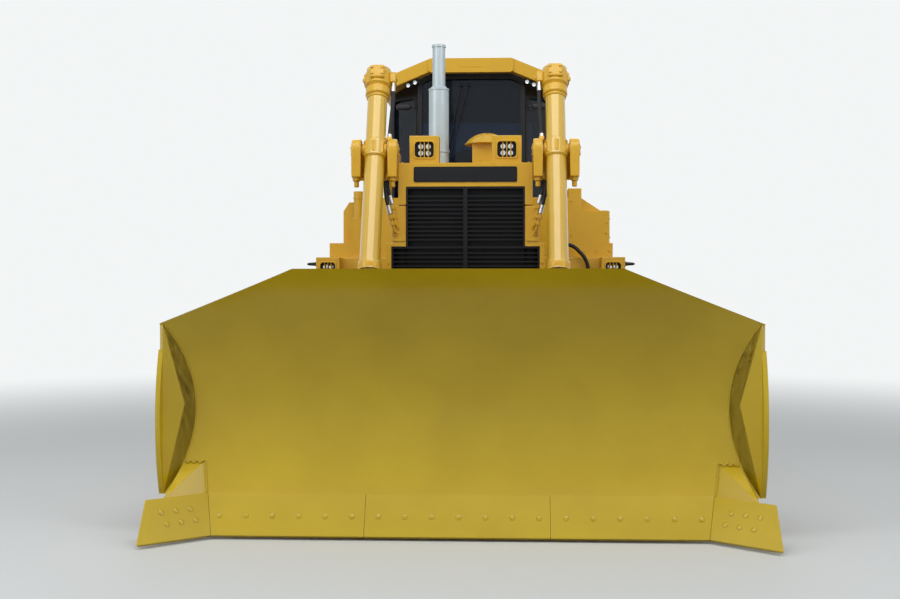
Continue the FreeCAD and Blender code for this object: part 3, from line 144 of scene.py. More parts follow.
def makeLamps():
    for name, (place, aim, sides, power) in lampRig.items():
        light = bpy.data.lights.new(name, "AREA")
        light.shape = "RECTANGLE"
        light.size, light.size_y = sides
        light.energy = power
        holder = bpy.data.objects.new(name, light)
        scene.collection.objects.link(holder)
        holder.location = place
        back = np.array(place) - np.array(aim)
        yaw = math.atan2(back[0], -back[1])
        tilt = math.acos(back[2] / np.linalg.norm(back))
        holder.rotation_euler = (tilt, 0.0, yaw)


makeFloor()
makeWorld()
makeLamps()
print("stage ready")

# ---- finishes
# colour and its deep shade, roughness low and high, shine, metal, coat, size of the mottle in metres, bump depth
finishes = {
    "machineYellow": {"colour": (0.73, 0.43, 0.026), "deep": (0.66, 0.375, 0.020), "rough": (0.22, 0.36), "shine": 0.32,
                      "metal": 0.0, "coat": 0.22, "mottle": 0.5, "grain": 0.008, "depth": 0.05},
    "bladeYellow": {"colour": (0.60, 0.425, 0.010), "deep": (0.53, 0.365, 0.007), "rough": (0.17, 0.28), "shine": 0.32,
                    "metal": 0.0, "coat": 0.30, "mottle": 0.6, "grain": 0.010, "depth": 0.06},
    "cylinderYellow": {"colour": (0.70, 0.45, 0.040), "deep": (0.64, 0.40, 0.032), "rough": (0.14, 0.22), "shine": 0.45,
                       "metal": 0.0, "coat": 0.75, "mottle": 0.5, "grain": 0.008, "depth": 0.03},
    "blackPaint": {"colour": (0.0065, 0.0075, 0.0105), "deep": (0.0035, 0.004, 0.006), "rough": (0.34, 0.48), "shine": 0.25,
                   "metal": 0.0, "coat": 0.0, "mottle": 0.3, "grain": 0.006, "depth": 0.05},
    "trackSteel": {"colour": (0.085, 0.075, 0.065), "deep": (0.045, 0.040, 0.036), "rough": (0.45, 0.72), "shine": 0.5,
                   "metal": 0.55, "coat": 0.0, "mottle": 0.12, "grain": 0.004, "depth": 0.25},
    "brightSteel": {"colour": (0.72, 0.73, 0.75), "deep": (0.62, 0.63, 0.65), "rough": (0.08, 0.16), "shine": 0.5,
                    "metal": 1.0, "coat": 0.0, "mottle": 0.2, "grain": 0.002, "depth": 0.02},
    "stackPaint": {"colour": (0.50, 0.58, 0.61), "deep": (0.44, 0.52, 0.56), "rough": (0.36, 0.50), "shine": 0.5,
                   "metal": 0.35, "coat": 0.1, "mottle": 0.15, "grain": 0.003, "depth": 0.08},
    "seatFabric": {"colour": (0.035, 0.036, 0.040), "deep": (0.022, 0.022, 0.025), "rough": (0.75, 0.9), "shine": 0.3,
                   "metal": 0.0, "coat": 0.0, "mottle": 0.05, "grain": 0.0015, "depth": 0.4},
    "cabPlastic": {"colour": (0.030, 0.031, 0.034), "deep": (0.020, 0.021, 0.023), "rough": (0.5, 0.65), "shine": 0.35,
                   "metal": 0.0, "coat": 0.0, "mottle": 0.1, "grain": 0.002, "depth": 0.2},
    "engineIron": {"colour": (0.16, 0.155, 0.14), "deep": (0.09, 0.088, 0.08), "rough": (0.55, 0.75), "shine": 0.4,
                   "metal": 0.3, "coat": 0.0, "mottle": 0.1, "grain": 0.003, "depth": 0.3},
    "rubber": {"colour": (0.012, 0.012, 0.013), "deep": (0.007, 0.007, 0.008), "rough": (0.5, 0.65), "shine": 0.3,
               "metal": 0.0, "coat": 0.0, "mottle": 0.05, "grain": 0.0015, "depth": 0.2},
    "zincPlate": {"colour": (0.55, 0.55, 0.53), "deep": (0.44, 0.44, 0.42), "rough": (0.28, 0.42), "shine": 0.5,
                  "metal": 0.9, "coat": 0.0, "mottle": 0.03, "grain": 0.001, "depth": 0.1},
    "redLens": {"colour": (0.45, 0.012, 0.010), "deep": (0.36, 0.008, 0.008), "rough": (0.12, 0.2), "shine": 0.5,
                "metal": 0.0, "coat": 0.4, "mottle": 0.02, "grain": 0.004, "depth": 0.4},
}
ready = {}


def noiseTexture(tree, coordinate, size, detail):
    texture = tree.nodes.new("ShaderNodeTexNoise")
    texture.inputs["Scale"].default_value = 1.0 / size
    texture.inputs["Detail"].default_value = detail
    tree.links.new(coordinate, texture.inputs["Vector"])
    return texture.outputs["Fac"]


def finish(name):
    # mottled colour between two shades, roughness that wanders the same way, and a fine grain in the bump
    if name in ready:
        return ready[name]
    look = finishes[name]
    material = bpy.data.materials.new(name)
    material.use_nodes = True
    tree = material.node_tree
    shader = tree.nodes["Principled BSDF"]
    coordinate = tree.nodes.new("ShaderNodeTexCoord").outputs["Object"]
    broad = noiseTexture(tree, coordinate, look["mottle"], 4.0)
    ramp = tree.nodes.new("ShaderNodeValToRGB")
    ramp.color_ramp.elements[0].position = 0.32
    ramp.color_ramp.elements[1].position = 0.68
    ramp.color_ramp.elements[0].color = (*look["deep"], 1)
    ramp.color_ramp.elements[1].color = (*look["colour"], 1)
    tree.links.new(broad, ramp.inputs["Fac"])
    tree.links.new(ramp.outputs["Color"], shader.inputs["Base Color"])
    spread = tree.nodes.new("ShaderNodeMapRange")
    spread.inputs["To Min"].default_value, spread.inputs["To Max"].default_value = look["rough"]
    tree.links.new(noiseTexture(tree, coordinate, look["mottle"] * 0.3, 5.0), spread.inputs["Value"])
    tree.links.new(spread.outputs["Result"], shader.inputs["Roughness"])
    bump = tree.nodes.new("ShaderNodeBump")
    bump.inputs["Strength"].default_value = look["depth"]
    bump.inputs["Distance"].default_value = look["grain"] * 0.2
    tree.links.new(noiseTexture(tree, coordinate, look["grain"], 2.0), bump.inputs["Height"])
    tree.links.new(bump.outputs["Normal"], shader.inputs["Normal"])
    shader.inputs["Metallic"].default_value = look["metal"]
    shader.inputs["Specular IOR Level"].default_value = look["shine"]
    shader.inputs["Coat Weight"].default_value = look["coat"]
    shader.inputs["Coat Roughness"].default_value = 0.12
    ready[name] = material
    return material


def cabPaint():
    # the shell's yellow behind the corner posts and black before them: a mask steps at one depth of the cab
    if "cabPaint" in ready:
        return ready["cabPaint"]
    material = finish("machineYellow").copy()
    material.name = "cabPaint"
    tree = material.node_tree
    shader = tree.nodes["Principled BSDF"]
    plain = shader.inputs["Base Color"].links[0].from_socket
    apart = tree.nodes.new("ShaderNodeSeparateXYZ")
    tree.links.new(tree.nodes.new("ShaderNodeTexCoord").outputs["Object"], apart.inputs[0])
    step = tree.nodes.new("ShaderNodeMapRange")
    step.inputs["From Min"].default_value = cab["blackTo"]
    step.inputs["From Max"].default_value = cab["blackTo"] + 0.002
    tree.links.new(apart.outputs["Y"], step.inputs["Value"])
    mix = tree.nodes.new("ShaderNodeMix")
    mix.data_type = "RGBA"
    mix.inputs["A"].default_value = (*finishes["blackPaint"]["colour"], 1)
    tree.links.new(plain, mix.inputs["B"])
    tree.links.new(step.outputs["Result"], mix.inputs["Factor"])
    tree.links.new(mix.outputs["Result"], shader.inputs["Base Color"])
    ready["cabPaint"] = material
    return material


def tintedGlass():
    # dark tinted pane: light passes dimmed, with a faint grey film on its face
    if "tintedGlass" in ready:
        return ready["tintedGlass"]
    material = bpy.data.materials.new("tintedGlass")
    material.use_nodes = True
    tree = material.node_tree
    shader = tree.nodes["Principled BSDF"]
    coordinate = tree.nodes.new("ShaderNodeTexCoord").outputs["Object"]
    ramp = tree.nodes.new("ShaderNodeValToRGB")
    ramp.color_ramp.elements[0].color = (0.05, 0.085, 0.14, 1)
    ramp.color_ramp.elements[1].color = (0.08, 0.12, 0.185, 1)
    tree.links.new(noiseTexture(tree, coordinate, 0.6, 3.0), ramp.inputs["Fac"])
    tree.links.new(ramp.outputs["Color"], shader.inputs["Base Color"])
    shader.inputs["Transmission Weight"].default_value = 0.92
    shader.inputs["Roughness"].default_value = 0.03
    shader.inputs["IOR"].default_value = 1.3
    ready["tintedGlass"] = material
    return material


# ---- shapes: each is (points, faces), worked out on a grid of two parameters
def gridFaces(rows, columns, wrapRows=False, wrapColumns=False):
    # quads between each grid point and the next along both ways
    i, j = np.meshgrid(np.arange(rows if wrapRows else rows - 1), np.arange(columns if wrapColumns else columns - 1),
                       indexing="ij")
    down, along = (i + 1) % rows, (j + 1) % columns
    quads = np.stack([i * columns + j, i * columns + along, down * columns + along, down * columns + j], -1)
    return quads.reshape(-1, 4).tolist()


def loft(rings, capped=True):
    # rings of points joined in turn, each end closed by a fan to its middle
    rings = np.asarray(rings, float)
    rows, columns = rings.shape[:2]
    points = rings.reshape(-1, 3)
    faces = gridFaces(rows, columns, wrapColumns=True)
    if capped:
        points = np.vstack([points, rings[0].mean(0), rings[-1].mean(0)])
        first, last = rows * columns, rows * columns + 1
        start = (rows - 1) * columns
        faces += [[(j + 1) % columns, j, first] for j in range(columns)]
        faces += [[start + j, start + (j + 1) % columns, last] for j in range(columns)]
    return points, faces


def across(direction):
    # two unit vectors square to the direction and to each other
    direction = np.asarray(direction, float) / np.linalg.norm(direction)
    help_ = np.array([0.0, 0.0, 1.0]) if abs(direction[2]) < 0.9 else np.array([0.0, 1.0, 0.0])
    side = np.cross(help_, direction)
    side /= np.linalg.norm(side)
    return side, np.cross(direction, side)


def turned(profile, centre, direction, count=32):
    # a profile of (distance along, radius) swung round the axis: centre + along * axis + radius * (cos u, sin u);
    # a profile that keeps off the axis at both its ends closes on itself, as a ring with an open bore
    profile = np.asarray(profile, float)
    axis = np.asarray(direction, float) / np.linalg.norm(direction)
    side, rise = across(axis)
    angle = np.arange(count) * 2 * math.pi / count
    round_ = np.cos(angle)[:, None] * side + np.sin(angle)[:, None] * rise
    rings = np.asarray(centre) + profile[:, None, :1] * axis + profile[:, None, 1:] * round_
    if min(profile[0, 1], profile[-1, 1]) > 0:
        return rings.reshape(-1, 3), gridFaces(len(profile), count, wrapRows=True, wrapColumns=True)
    return loft(rings)


def rounding(corners, radii, steps=5):
    # a closed outline whose corners are arcs: each arc runs from one side's tangent point to the next's
    corners = np.asarray(corners, float)
    out = []
    for k, corner in enumerate(corners):
        radius = radii if np.isscalar(radii) else radii[k]
        before, after = corners[k - 1] - corner, corners[(k + 1) % len(corners)] - corner
        before, after = before / np.linalg.norm(before), after / np.linalg.norm(after)
        half = math.acos(np.clip(before @ after, -1, 1)) / 2
        if radius <= 0 or half > 1.55:
            out.append(corner[None])
            continue
        reach = radius / math.tan(half)
        middle = corner + (before + after) / np.linalg.norm(before + after) * radius / math.sin(half)
        start, end = corner + before * reach - middle, corner + after * reach - middle
        t = np.linspace(0, 1, steps)[:, None]
        chord = (1 - t) * start + t * end
        out.append(middle + chord / np.linalg.norm(chord, axis=1)[:, None] * radius)
    return np.vstack(out)


def roundedBox(low, high, radius=0.01, steps=3):
    # rounded rectangles stacked upwards, drawn in at both ends by a quarter circle
    low, high = np.asarray(low, float), np.asarray(high, float)
    radius = min(radius, *(0.49 * (high - low)))
    q = np.linspace(0, math.pi / 2, steps)
    levels = [(low[2] + radius * (1 - math.sin(a)), radius * (1 - math.cos(a))) for a in q]
    levels += [(high[2] - radius * (1 - math.sin(a)), radius * (1 - math.cos(a))) for a in q[::-1]]
    levels.sort()
    rings = []
    for z, inset in levels:
        corners = [(low[0] + inset, low[1] + inset), (high[0] - inset, low[1] + inset),
                   (high[0] - inset, high[1] - inset), (low[0] + inset, high[1] - inset)]
        flat = rounding(corners, max(radius - inset, radius * 0.2), steps + 1)
        rings.append(np.column_stack([flat, np.full(len(flat), z)]))
    return loft(rings)


def carried(profile, path, rise=(0, 0, 1), closed=False):
    # a profile of (side, rise) carried along a path: point = path + side * (tangent x rise) + rise * upright
    path, profile = np.asarray(path, float), np.asarray(profile, float)
    ahead = np.roll(path, -1, 0) - np.roll(path, 1, 0)
    if not closed:
        ahead[0], ahead[-1] = path[1] - path[0], path[-1] - path[-2]
    ahead /= np.linalg.norm(ahead, axis=1)[:, None]
    side = np.cross(ahead, np.asarray(rise, float))
    side /= np.linalg.norm(side, axis=1)[:, None]
    upright = np.cross(side, ahead)
    rings = path[:, None] + profile[None, :, :1] * side[:, None] + profile[None, :, 1:] * upright[:, None]
    if closed:
        rings = np.concatenate([rings, rings[:1]])
    return loft(rings, capped=not closed)


def smoothPath(points, radius=0.05, steps=6):
    # straight runs joined by bends: each inner corner is a quadratic curve between points at the radius's reach
    points = np.asarray(points, float)
    if radius <= 0:
        return points
    out = [points[0]]
    for a, b, c in zip(points[:-2], points[1:-1], points[2:]):
        reach = min(radius, 0.45 * np.linalg.norm(a - b), 0.45 * np.linalg.norm(c - b))
        start = b + (a - b) / np.linalg.norm(a - b) * reach
        end = b + (c - b) / np.linalg.norm(c - b) * reach
        t = np.linspace(0, 1, steps)[:, None]
        out.extend((1 - t) ** 2 * start + 2 * t * (1 - t) * b + t ** 2 * end)
    out.append(points[-1])
    return np.array(out)


def circle(radius, count=16):
    angle = np.arange(count) * 2 * math.pi / count
    return np.column_stack([np.cos(angle), np.sin(angle)]) * radius


def tube(points, radius, bend=0.05, count=16):
    # a circle carried along the rounded path, with the frame turned as little as the path allows
    path = smoothPath(points, bend)
    ahead = np.gradient(path, axis=0)
    ahead /= np.linalg.norm(ahead, axis=1)[:, None]
    side = across(ahead[0])[0]
    rings = []
    for middle, along in zip(path, ahead):
        side = side - along * (side @ along)
        side /= np.linalg.norm(side)
        rise = np.cross(along, side)
        flat = circle(radius, count)
        rings.append(middle + flat[:, :1] * side + flat[:, 1:] * rise)
    return loft(rings)


def plate(outline, lift, start, thick, edge=0.004):
    # an outline given a thickness: lift turns (u, v, w) into a point, with w from start to start + thick, edges eased
    outline = np.asarray(outline, float)
    middle = outline.mean(0)
    length = np.abs(outline - middle).max()
    inner = middle + (outline - middle) * (1 - edge / length)
    sign = 1.0 if thick > 0 else -1.0
    rings = [(inner, start), (outline, start + sign * edge), (outline, start + thick - sign * edge), (inner, start + thick)]
    return loft([lift(flat[:, 0], flat[:, 1], np.full(len(flat), w)) for flat, w in rings])


def hexBolt(centre, direction, radius, height):
    # a six-sided head with a washer, turned from a profile with six columns over a round one
    washer = turned([(0, 0), (0, radius * 1.25), (height * 0.18, radius * 1.25), (height * 0.18, 0)], centre, direction, 14)
    head = turned([(height * 0.1, 0), (height * 0.1, radius), (height * 0.85, radius), (height, radius * 0.82), (height, 0)],
                  centre, direction, 6)
    return [washer, head]


def domeBolt(centre, direction, radius, height):
    # a low round head: quarter ellipse profile
    a = np.linspace(0, math.pi / 2, 4)
    return [turned([(0, 0)] + [(height * math.sin(x), radius * math.cos(x)) for x in a], centre, direction, 12)]


def boltRing(centre, direction, radius, count, head=0.010, high=0.009, start=0.0):
    # bolts evenly spread round a circle square to the direction
    side, rise = across(direction)
    spots = [np.asarray(centre) + radius * (math.cos(t) * side + math.sin(t) * rise)
             for t in start + np.arange(count) * 2 * math.pi / count]
    return [shape for spot in spots for shape in hexBolt(spot, direction, head, high)]


def boltRow(start, end, count, direction, head=0.009, high=0.008):
    return [shape for spot in np.linspace(start, end, count) for shape in hexBolt(spot, direction, head, high)]


def flipX(shape):
    # the same shape on the machine's other side
    points, faces = shape
    return np.asarray(points) * (-1, 1, 1), [face[::-1] for face in faces]


def bothSides(shapes):
    return list(shapes) + [flipX(shape) for shape in shapes]


def makePiece(name, shapes, material, body="chassis", bevel=0.0, smooth=32, replaces=()):
    # the shapes gathered in one mesh, doubles merged, its normals turned outwards, and its object at the origin
    points, faces, start = [], [], 0
    for part, its in shapes:
        points.append(np.asarray(part))
        faces += [[start + k for k in face] for face in its]
        start += len(part)
    mesh = bpy.data.meshes.new(name)
    mesh.from_pydata(np.vstack(points).tolist(), [], faces)
    tool = bmesh.new()
    tool.from_mesh(mesh)
    bmesh.ops.remove_doubles(tool, verts=tool.verts, dist=1e-6)
    bmesh.ops.dissolve_degenerate(tool, edges=tool.edges, dist=1e-7)
    bmesh.ops.recalc_face_normals(tool, faces=tool.faces)
    tool.to_mesh(mesh)
    tool.free()
    mesh.shade_smooth()
    mesh.set_sharp_from_angle(angle=math.radians(smooth))
    mesh.materials.append(material)
    piece = bpy.data.objects.new(name, mesh)
    scene.collection.objects.link(piece)
    if bevel:
        eased = piece.modifiers.new("eased", "BEVEL")
        eased.width, eased.segments, eased.limit_method = bevel, 2, "ANGLE"
        eased.angle_limit = math.radians(35)
        eased.harden_normals = True
    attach(piece, body)
    if replaces:
        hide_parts(*replaces)
    return piece


# ---- blade: smooth face, edge plates, their bolts and welds
blade = {"radius": 1.12, "lean": math.radians(60), "edgeY": -2.82, "edgeZ": 0.012, "edgeHigh": 0.25, "thick": 0.032,
         "top": 1.736, "mid": 1.597, "turn": math.radians(40.4), "wingX": 1.762, "wingHalf": 1.944,
         "corner": (1.032, 1.39), "patchTop": 0.47}
footY = blade["edgeY"] + blade["edgeHigh"] / math.tan(blade["lean"])
footZ = blade["edgeZ"] + blade["edgeHigh"]
arcY = footY - blade["radius"] * math.sin(blade["lean"])
arcZ = footZ + blade["radius"] * math.cos(blade["lean"])


def faceY(z, proud=0.0):
    # the bowl's arc: y = middle + root of (radius - proud) squared less the height over the middle squared
    return arcY + np.sqrt((blade["radius"] - proud) ** 2 - (z - arcZ) ** 2)


def jointX(y):
    # where the joint's bisecting plane stands at this depth
    return blade["mid"] + (y - blade["edgeY"]) * math.tan(blade["turn"] / 2)


def wingX(y):
    # where the flat wing's inner face stands at this depth
    return blade["wingX"] + (arcY + blade["radius"] - y) / math.tan(blade["turn"])


def alongWing(run, y, z):
    # a place by its run from the joint along the wing: turned about the joint's foot by the wing's angle
    c, s = math.cos(blade["turn"]), math.sin(blade["turn"])
    back = y - blade["edgeY"]
    return np.stack([blade["mid"] + c * run + s * back, blade["edgeY"] - s * run + c * back, z + 0 * run], -1)


def cornerTop(x):
    # the blade's top: level in the middle, falling in a straight line beyond each corner
    x0, z1 = blade["corner"]
    fall = (blade["top"] - z1) / (blade["wingHalf"] - x0)
    return np.minimum(blade["top"], blade["top"] - fall * (np.abs(x) - x0))


def bladeSheet(spans):
    # columns across and rows up the arc, ending on the wings' inner faces; each column is a closed ring whose
    # front stands 1.5 mm proud of the arc and whose back lies on it
    rings = []
    rows = np.linspace(0, 1, 65)
    for u in spans:
        ring = []
        for proud, share in ((0.0015, rows), (0.0, rows[::-1])):
            z = footZ + share * (blade["top"] - footZ)
            for turn in range(8):
                z = footZ + share * (cornerTop(u * wingX(faceY(z, proud))) - footZ)
            y = faceY(z, proud)
            ring.append(np.column_stack([u * wingX(y), y, z]))
        rings.append(np.vstack(ring))
    return loft(rings)


makePiece("bladeFace", [bladeSheet(np.linspace(-1, 1, 81))], finish("bladeYellow"), "blade", smooth=25)


def weldBead(path, radius=0.006, wave=0.0015, pitch=0.011):
    # a bead whose radius swells and shrinks along its length: radius + wave * cos(2 pi * length / pitch)
    path = np.asarray(path, float)
    steps = np.linalg.norm(np.diff(path, axis=0), axis=1)
    along = np.concatenate([[0], np.cumsum(steps)])
    count = max(8, int(along[-1] / pitch * 4))
    t = np.linspace(0, along[-1], count)
    middle = np.column_stack([np.interp(t, along, path[:, k]) for k in range(3)])
    ahead = np.gradient(middle, axis=0)
    ahead /= np.linalg.norm(ahead, axis=1)[:, None]
    up = np.cross(ahead, np.array([0.123, 0.456, 0.881]))
    up /= np.linalg.norm(up, axis=1)[:, None]
    other = np.cross(ahead, up)
    swell = radius + wave * np.cos(2 * math.pi * t / pitch)
    swell[0] = swell[-1] = radius * 0.4
    flat = circle(1.0, 8)
    rings = middle[:, None] + swell[:, None, None] * (flat[None, :, :1] * up[:, None] + flat[None, :, 1:] * other[:, None])
    return loft(rings)


def bladeWelds():
    # beads at the corner plate's inner and upper edges, and where the bowl meets the wing
    z = np.linspace(footZ + 0.01, blade["patchTop"] - 0.006, 24)
    y = faceY(z, 0.004)
    beads = [weldBead(np.column_stack([jointX(y) + 0.002, y, z]), 0.006)]
    x = np.linspace(jointX(faceY(0.47)) + 0.005, wingX(faceY(0.47)) - 0.01, 80)
    z = blade["patchTop"] - 0.004 + 0.008 * np.sin((x - x[0]) * 150)
    beads.append(weldBead(np.column_stack([x, faceY(z, 0.006), z]), 0.008))
    z = np.linspace(blade["patchTop"] + 0.01, 1.37, 60)
    y = faceY(z, 0.003)
    beads.append(weldBead(np.column_stack([wingX(y) - 0.003, y, z]), 0.005))
    return bothSides(beads)


makePiece("bladeWelds", bladeWelds(), finish("bladeYellow"), "blade", smooth=60)

edgeUp = np.array([0, math.cos(blade["lean"]), math.sin(blade["lean"])])
edgeOut = np.array([0, -math.sin(blade["lean"]), math.cos(blade["lean"])])
edgeLong = blade["edgeHigh"] / math.sin(blade["lean"])
edgeFoot = np.array([0, blade["edgeY"], blade["edgeZ"]])


def edgePlate(low, high):
    # the leaned plate between two ends; an end given as None is cut at the wing's joint
    corners = np.array([edgeFoot, edgeFoot + edgeUp * edgeLong, edgeFoot + edgeUp * edgeLong + edgeOut * blade["thick"],
                        edgeFoot + edgeOut * blade["thick"]])
    rings = []
    for end, side in ((low, -1), (high, 1)):
        x = side * (jointX(corners[:, 1]) - 0.0011) if end is None else np.full(4, end)
        rings.append(corners + x[:, None] * (1, 0, 0))
    return loft(rings)


makePiece("edgePlates", [edgePlate(None, -0.604), edgePlate(-0.602, 0.587), edgePlate(0.589, None)], finish("bladeYellow"),
          "blade", bevel=0.003, replaces=("cutting_edge",))


def edgeSpot(x, up):
    return edgeFoot + edgeUp * up + edgeOut * blade["thick"] + np.array([x, 0, 0])


def sunkBolt(centre, out, radius=0.017):
    # a plow bolt: a ring-shaped groove round a low crowned head, both just proud of the plate
    centre, out = np.asarray(centre), np.asarray(out)
    ring = turned([(0.0, radius * 1.22), (0.0016, radius * 1.2), (0.0016, radius * 1.04), (0.0, radius * 1.02)], centre, out, 24)
    head = turned([(0.0, radius), (0.003, radius * 0.95), (0.0045, radius * 0.6), (0.005, 0.0)], centre, out, 24)
    return [ring, head]


def edgeBolts():
    heads = []
    for x in np.linspace(-1.548, 1.548, 19):
        heads += sunkBolt(edgeSpot(x, 0.135), edgeOut)
    return heads


def bitBolts():
    heads = []
    c, s = math.cos(blade["turn"]), math.sin(blade["turn"])
    out = np.array([edgeOut[0] + s * edgeOut[1], c * edgeOut[1], edgeOut[2]])
    for run in (0.085, 0.185, 0.285):
        for up in (0.115, 0.195):
            spot = edgeSpot(0, up)
            heads += sunkBolt(alongWing(run + (up - 0.115) * 0.25, spot[1], spot[2]), out)
    return bothSides(heads)


makePiece("edgeBolts", edgeBolts(), finish("bladeYellow"), "blade", smooth=50)
makePiece("bitBolts", bitBolts(), finish("bladeYellow"), "blade", smooth=50)
print("blade face dressed")

# ---- lift cylinders: each piece is built along the cylinder's axis and set in place by the axis frame
lift = {"x": 0.685, "pivot": (-1.38, 2.65), "eye": (-2.18, 0.78), "above": 0.705, "below": 1.0, "barrel": 0.076}
axisRun = np.array([0, lift["pivot"][0] - lift["eye"][0], lift["pivot"][1] - lift["eye"][1]])
axisUp = axisRun / np.linalg.norm(axisRun)
axisFront = np.array([0, -axisUp[2], axisUp[1]])
pivotAt = np.array([lift["x"], *lift["pivot"]])
eyeAt = np.array([lift["x"], *lift["eye"]])


def onBarrel(side, front, up):
    # machine place of a point given by how far it is outwards, forwards and up along the cylinder
    return pivotAt + np.asarray(side)[..., None] * (1, 0, 0) + np.asarray(front)[..., None] * axisFront + np.asarray(up)[..., None] * axisUp


def tilted(shape):
    # a shape drawn with x outwards, y backwards and z along the cylinder, stood on the cylinder
    points, faces = shape
    points = np.asarray(points)
    return onBarrel(points[:, 0], -points[:, 1], points[:, 2]), faces


def ringBand(low, high, radius, sides=32, ease=0.006, inside=0.0):
    return turned([(low, inside), (low, radius - ease), (low + ease, radius), (high - ease, radius), (high, radius - ease),
                   (high, inside)], (0, 0, 0), (0, 0, 1), sides)


def barrelHead():
    # a round crowned cap on a stepped neck, with a block bolted on its front
    top = lift["above"]
    shapes = [ringBand(low, high, radius, ease=ease, inside=inside) for low, high, radius, ease, inside in
              ((top - 0.262, top - 0.23, 0.084, 0.010, 0.074), (top - 0.235, top - 0.155, 0.094, 0.012, 0.074),
               (top - 0.16, top - 0.015, 0.103, 0.020, 0.0), (top - 0.02, top + 0.012, 0.072, 0.014, 0.0))]
    shapes.append(roundedBox((-0.056, -0.118, top - 0.12), (0.056, 0.0, top - 0.006), 0.014, 4))
    for side in (-0.040, 0.040):
        for up in (top - 0.088, top - 0.034):
            shapes += hexBolt((side, -0.118, up), (0, -1, 0), 0.010, 0.011)
    shapes += boltRing((0, 0, top - 0.016), (0, 0, 1), 0.086, 8, 0.010, 0.009)
    return [tilted(shape) for shape in shapes]


def barrelCollar():
    # an eight-sided ring with eased edges, two round shoulders, and a boss on each flank for the trunnion
    shapes = [ringBand(-0.058, 0.058, 0.0955, 8, 0.012, 0.074)]
    shapes += [ringBand(-0.078, -0.05, 0.083, inside=0.074), ringBand(0.05, 0.078, 0.083, inside=0.074)]
    for side in (-1, 1):
        shapes.append(turned([(0.06, 0.0), (0.06, 0.055), (0.088, 0.055), (0.096, 0.047), (0.096, 0)], (0, 0, 0), (side, 0, 0), 28))
    return [tilted(shape) for shape in shapes]


def barrelGland():
    # the rod's gland: a ring with eight bolts round the foot of the barrel
    low = -lift["below"]
    shapes = [turned([(low, 0.047), (low, 0.082), (low + 0.008, 0.0865), (low + 0.05, 0.0865), (low + 0.058, 0.08),
                      (low + 0.058, 0.047)], (0, 0, 0), (0, 0, 1), 32)]
    for turn in np.arange(8) * math.pi / 4 + math.pi / 8:
        shapes += hexBolt((0.066 * math.cos(turn), 0.066 * math.sin(turn), low), (0, 0, -1), 0.008, 0.007)
    return [tilted(shape) for shape in shapes]


def barrelHose():
    # a hose from the head's inner port down to the collar
    top = lift["above"]
    run = onBarrel(*np.array([(-0.122, 0.03, top - 0.2), (-0.124, 0.024, top - 0.3), (-0.116, 0.01, 0.3), (-0.106, 0.0, 0.14)]).T)
    return [tube(run, 0.0155, 0.1, 16)]


def barrelPipe():
    # a steel pipe down the back of the barrel from the collar to the gland
    run = onBarrel(*np.array([(-0.03, -0.07, 0.06), (-0.03, -0.096, 0.03), (-0.03, -0.096, -0.1), (-0.03, -0.09, -0.9),
                              (-0.03, -0.07, -0.94)]).T)
    shapes = [tube(run, 0.011, 0.03, 14)]
    for up in (-0.35, -0.65):
        shapes.append(tilted(roundedBox((-0.055, 0.068, up - 0.02), (-0.005, 0.108, up + 0.02), 0.006)))
    return shapes


def barrelPorts():
    # the head's inner port block with its plug, an elbow under it, and the outer block's plug
    top = lift["above"]
    shapes = [tilted(roundedBox((-0.142, -0.055, top - 0.125), (-0.092, 0.02, top - 0.035), 0.01)),
              tilted(roundedBox((0.092, -0.04, top - 0.115), (0.112, 0.04, top - 0.045), 0.008))]
    shapes += [tilted(shape) for shape in hexBolt((-0.142, -0.02, top - 0.08), (-1, 0, 0), 0.015, 0.01)]
    shapes += [tilted(shape) for shape in hexBolt((0.112, 0.0, top - 0.08), (1, 0, 0), 0.015, 0.01)]
    shapes.append(tilted(roundedBox((-0.128, -0.03, 0.075), (-0.088, 0.03, 0.11), 0.008)))
    return shapes


def hoseEnds():
    top = lift["above"]
    shapes = [turned([(0, 0), (0, 0.0175), (0.05, 0.0175), (0.056, 0.013), (0.08, 0.013), (0.08, 0)], (-0.122, -0.03, top - 0.205), (0, 0, 1), 20),
              turned([(0, 0), (0, 0.0175), (0.03, 0.0175), (0.03, 0)], (-0.106, 0.0, 0.108), (0, 0, 1), 20)]
    return [tilted(shape) for shape in shapes]


for side in ("left", "right"):
    turnOver = (lambda shapes: shapes) if side == "left" else (lambda shapes: [flipX(shape) for shape in shapes])
    body = "barrel_" + side
    where = side.capitalize()
    makePiece("head" + where, turnOver(barrelHead()), finish("machineYellow"), body, smooth=35)
    makePiece("collar" + where, turnOver(barrelCollar()), finish("machineYellow"), body, smooth=25)
    makePiece("gland" + where, turnOver(barrelGland()), finish("machineYellow"), body, smooth=35)
    makePiece("ports" + where, turnOver(barrelPorts()), finish("machineYellow"), body, smooth=35)
    makePiece("pipe" + where, turnOver(barrelPipe()), finish("machineYellow"), body, smooth=50)
    makePiece("hose" + where, turnOver(barrelHose()), finish("rubber"), body, smooth=60)
    makePiece("hoseEnds" + where, turnOver(hoseEnds()), finish("zincPlate"), body)
print("lift cylinders dressed")

# ---- yokes: shaped ears over the trunnion plates, cap plates with bolts, and the lower bosses
yoke = {"inner": (0.515, 0.581), "outer": (0.789, 0.855), "radius": 0.085}


def yokeEar(low, high):
    # the plate's side view: round over the trunnion, straight down to a smaller round foot
    y, z = lift["pivot"]
    a = np.linspace(0, math.pi, 17)
    crown = np.column_stack([y - 0.088 * np.cos(a), z + 0.088 * np.sin(a)])
    foot = np.column_stack([y + 0.088 * np.cos(a) * 0.8 - 0.012, z - 0.175 - 0.04 * np.sin(a)])
    outline = np.vstack([crown, foot])
    return plate(outline, lambda u, v, w: np.column_stack([w, u, v]), low - 0.002, high - low + 0.004, 0.008)


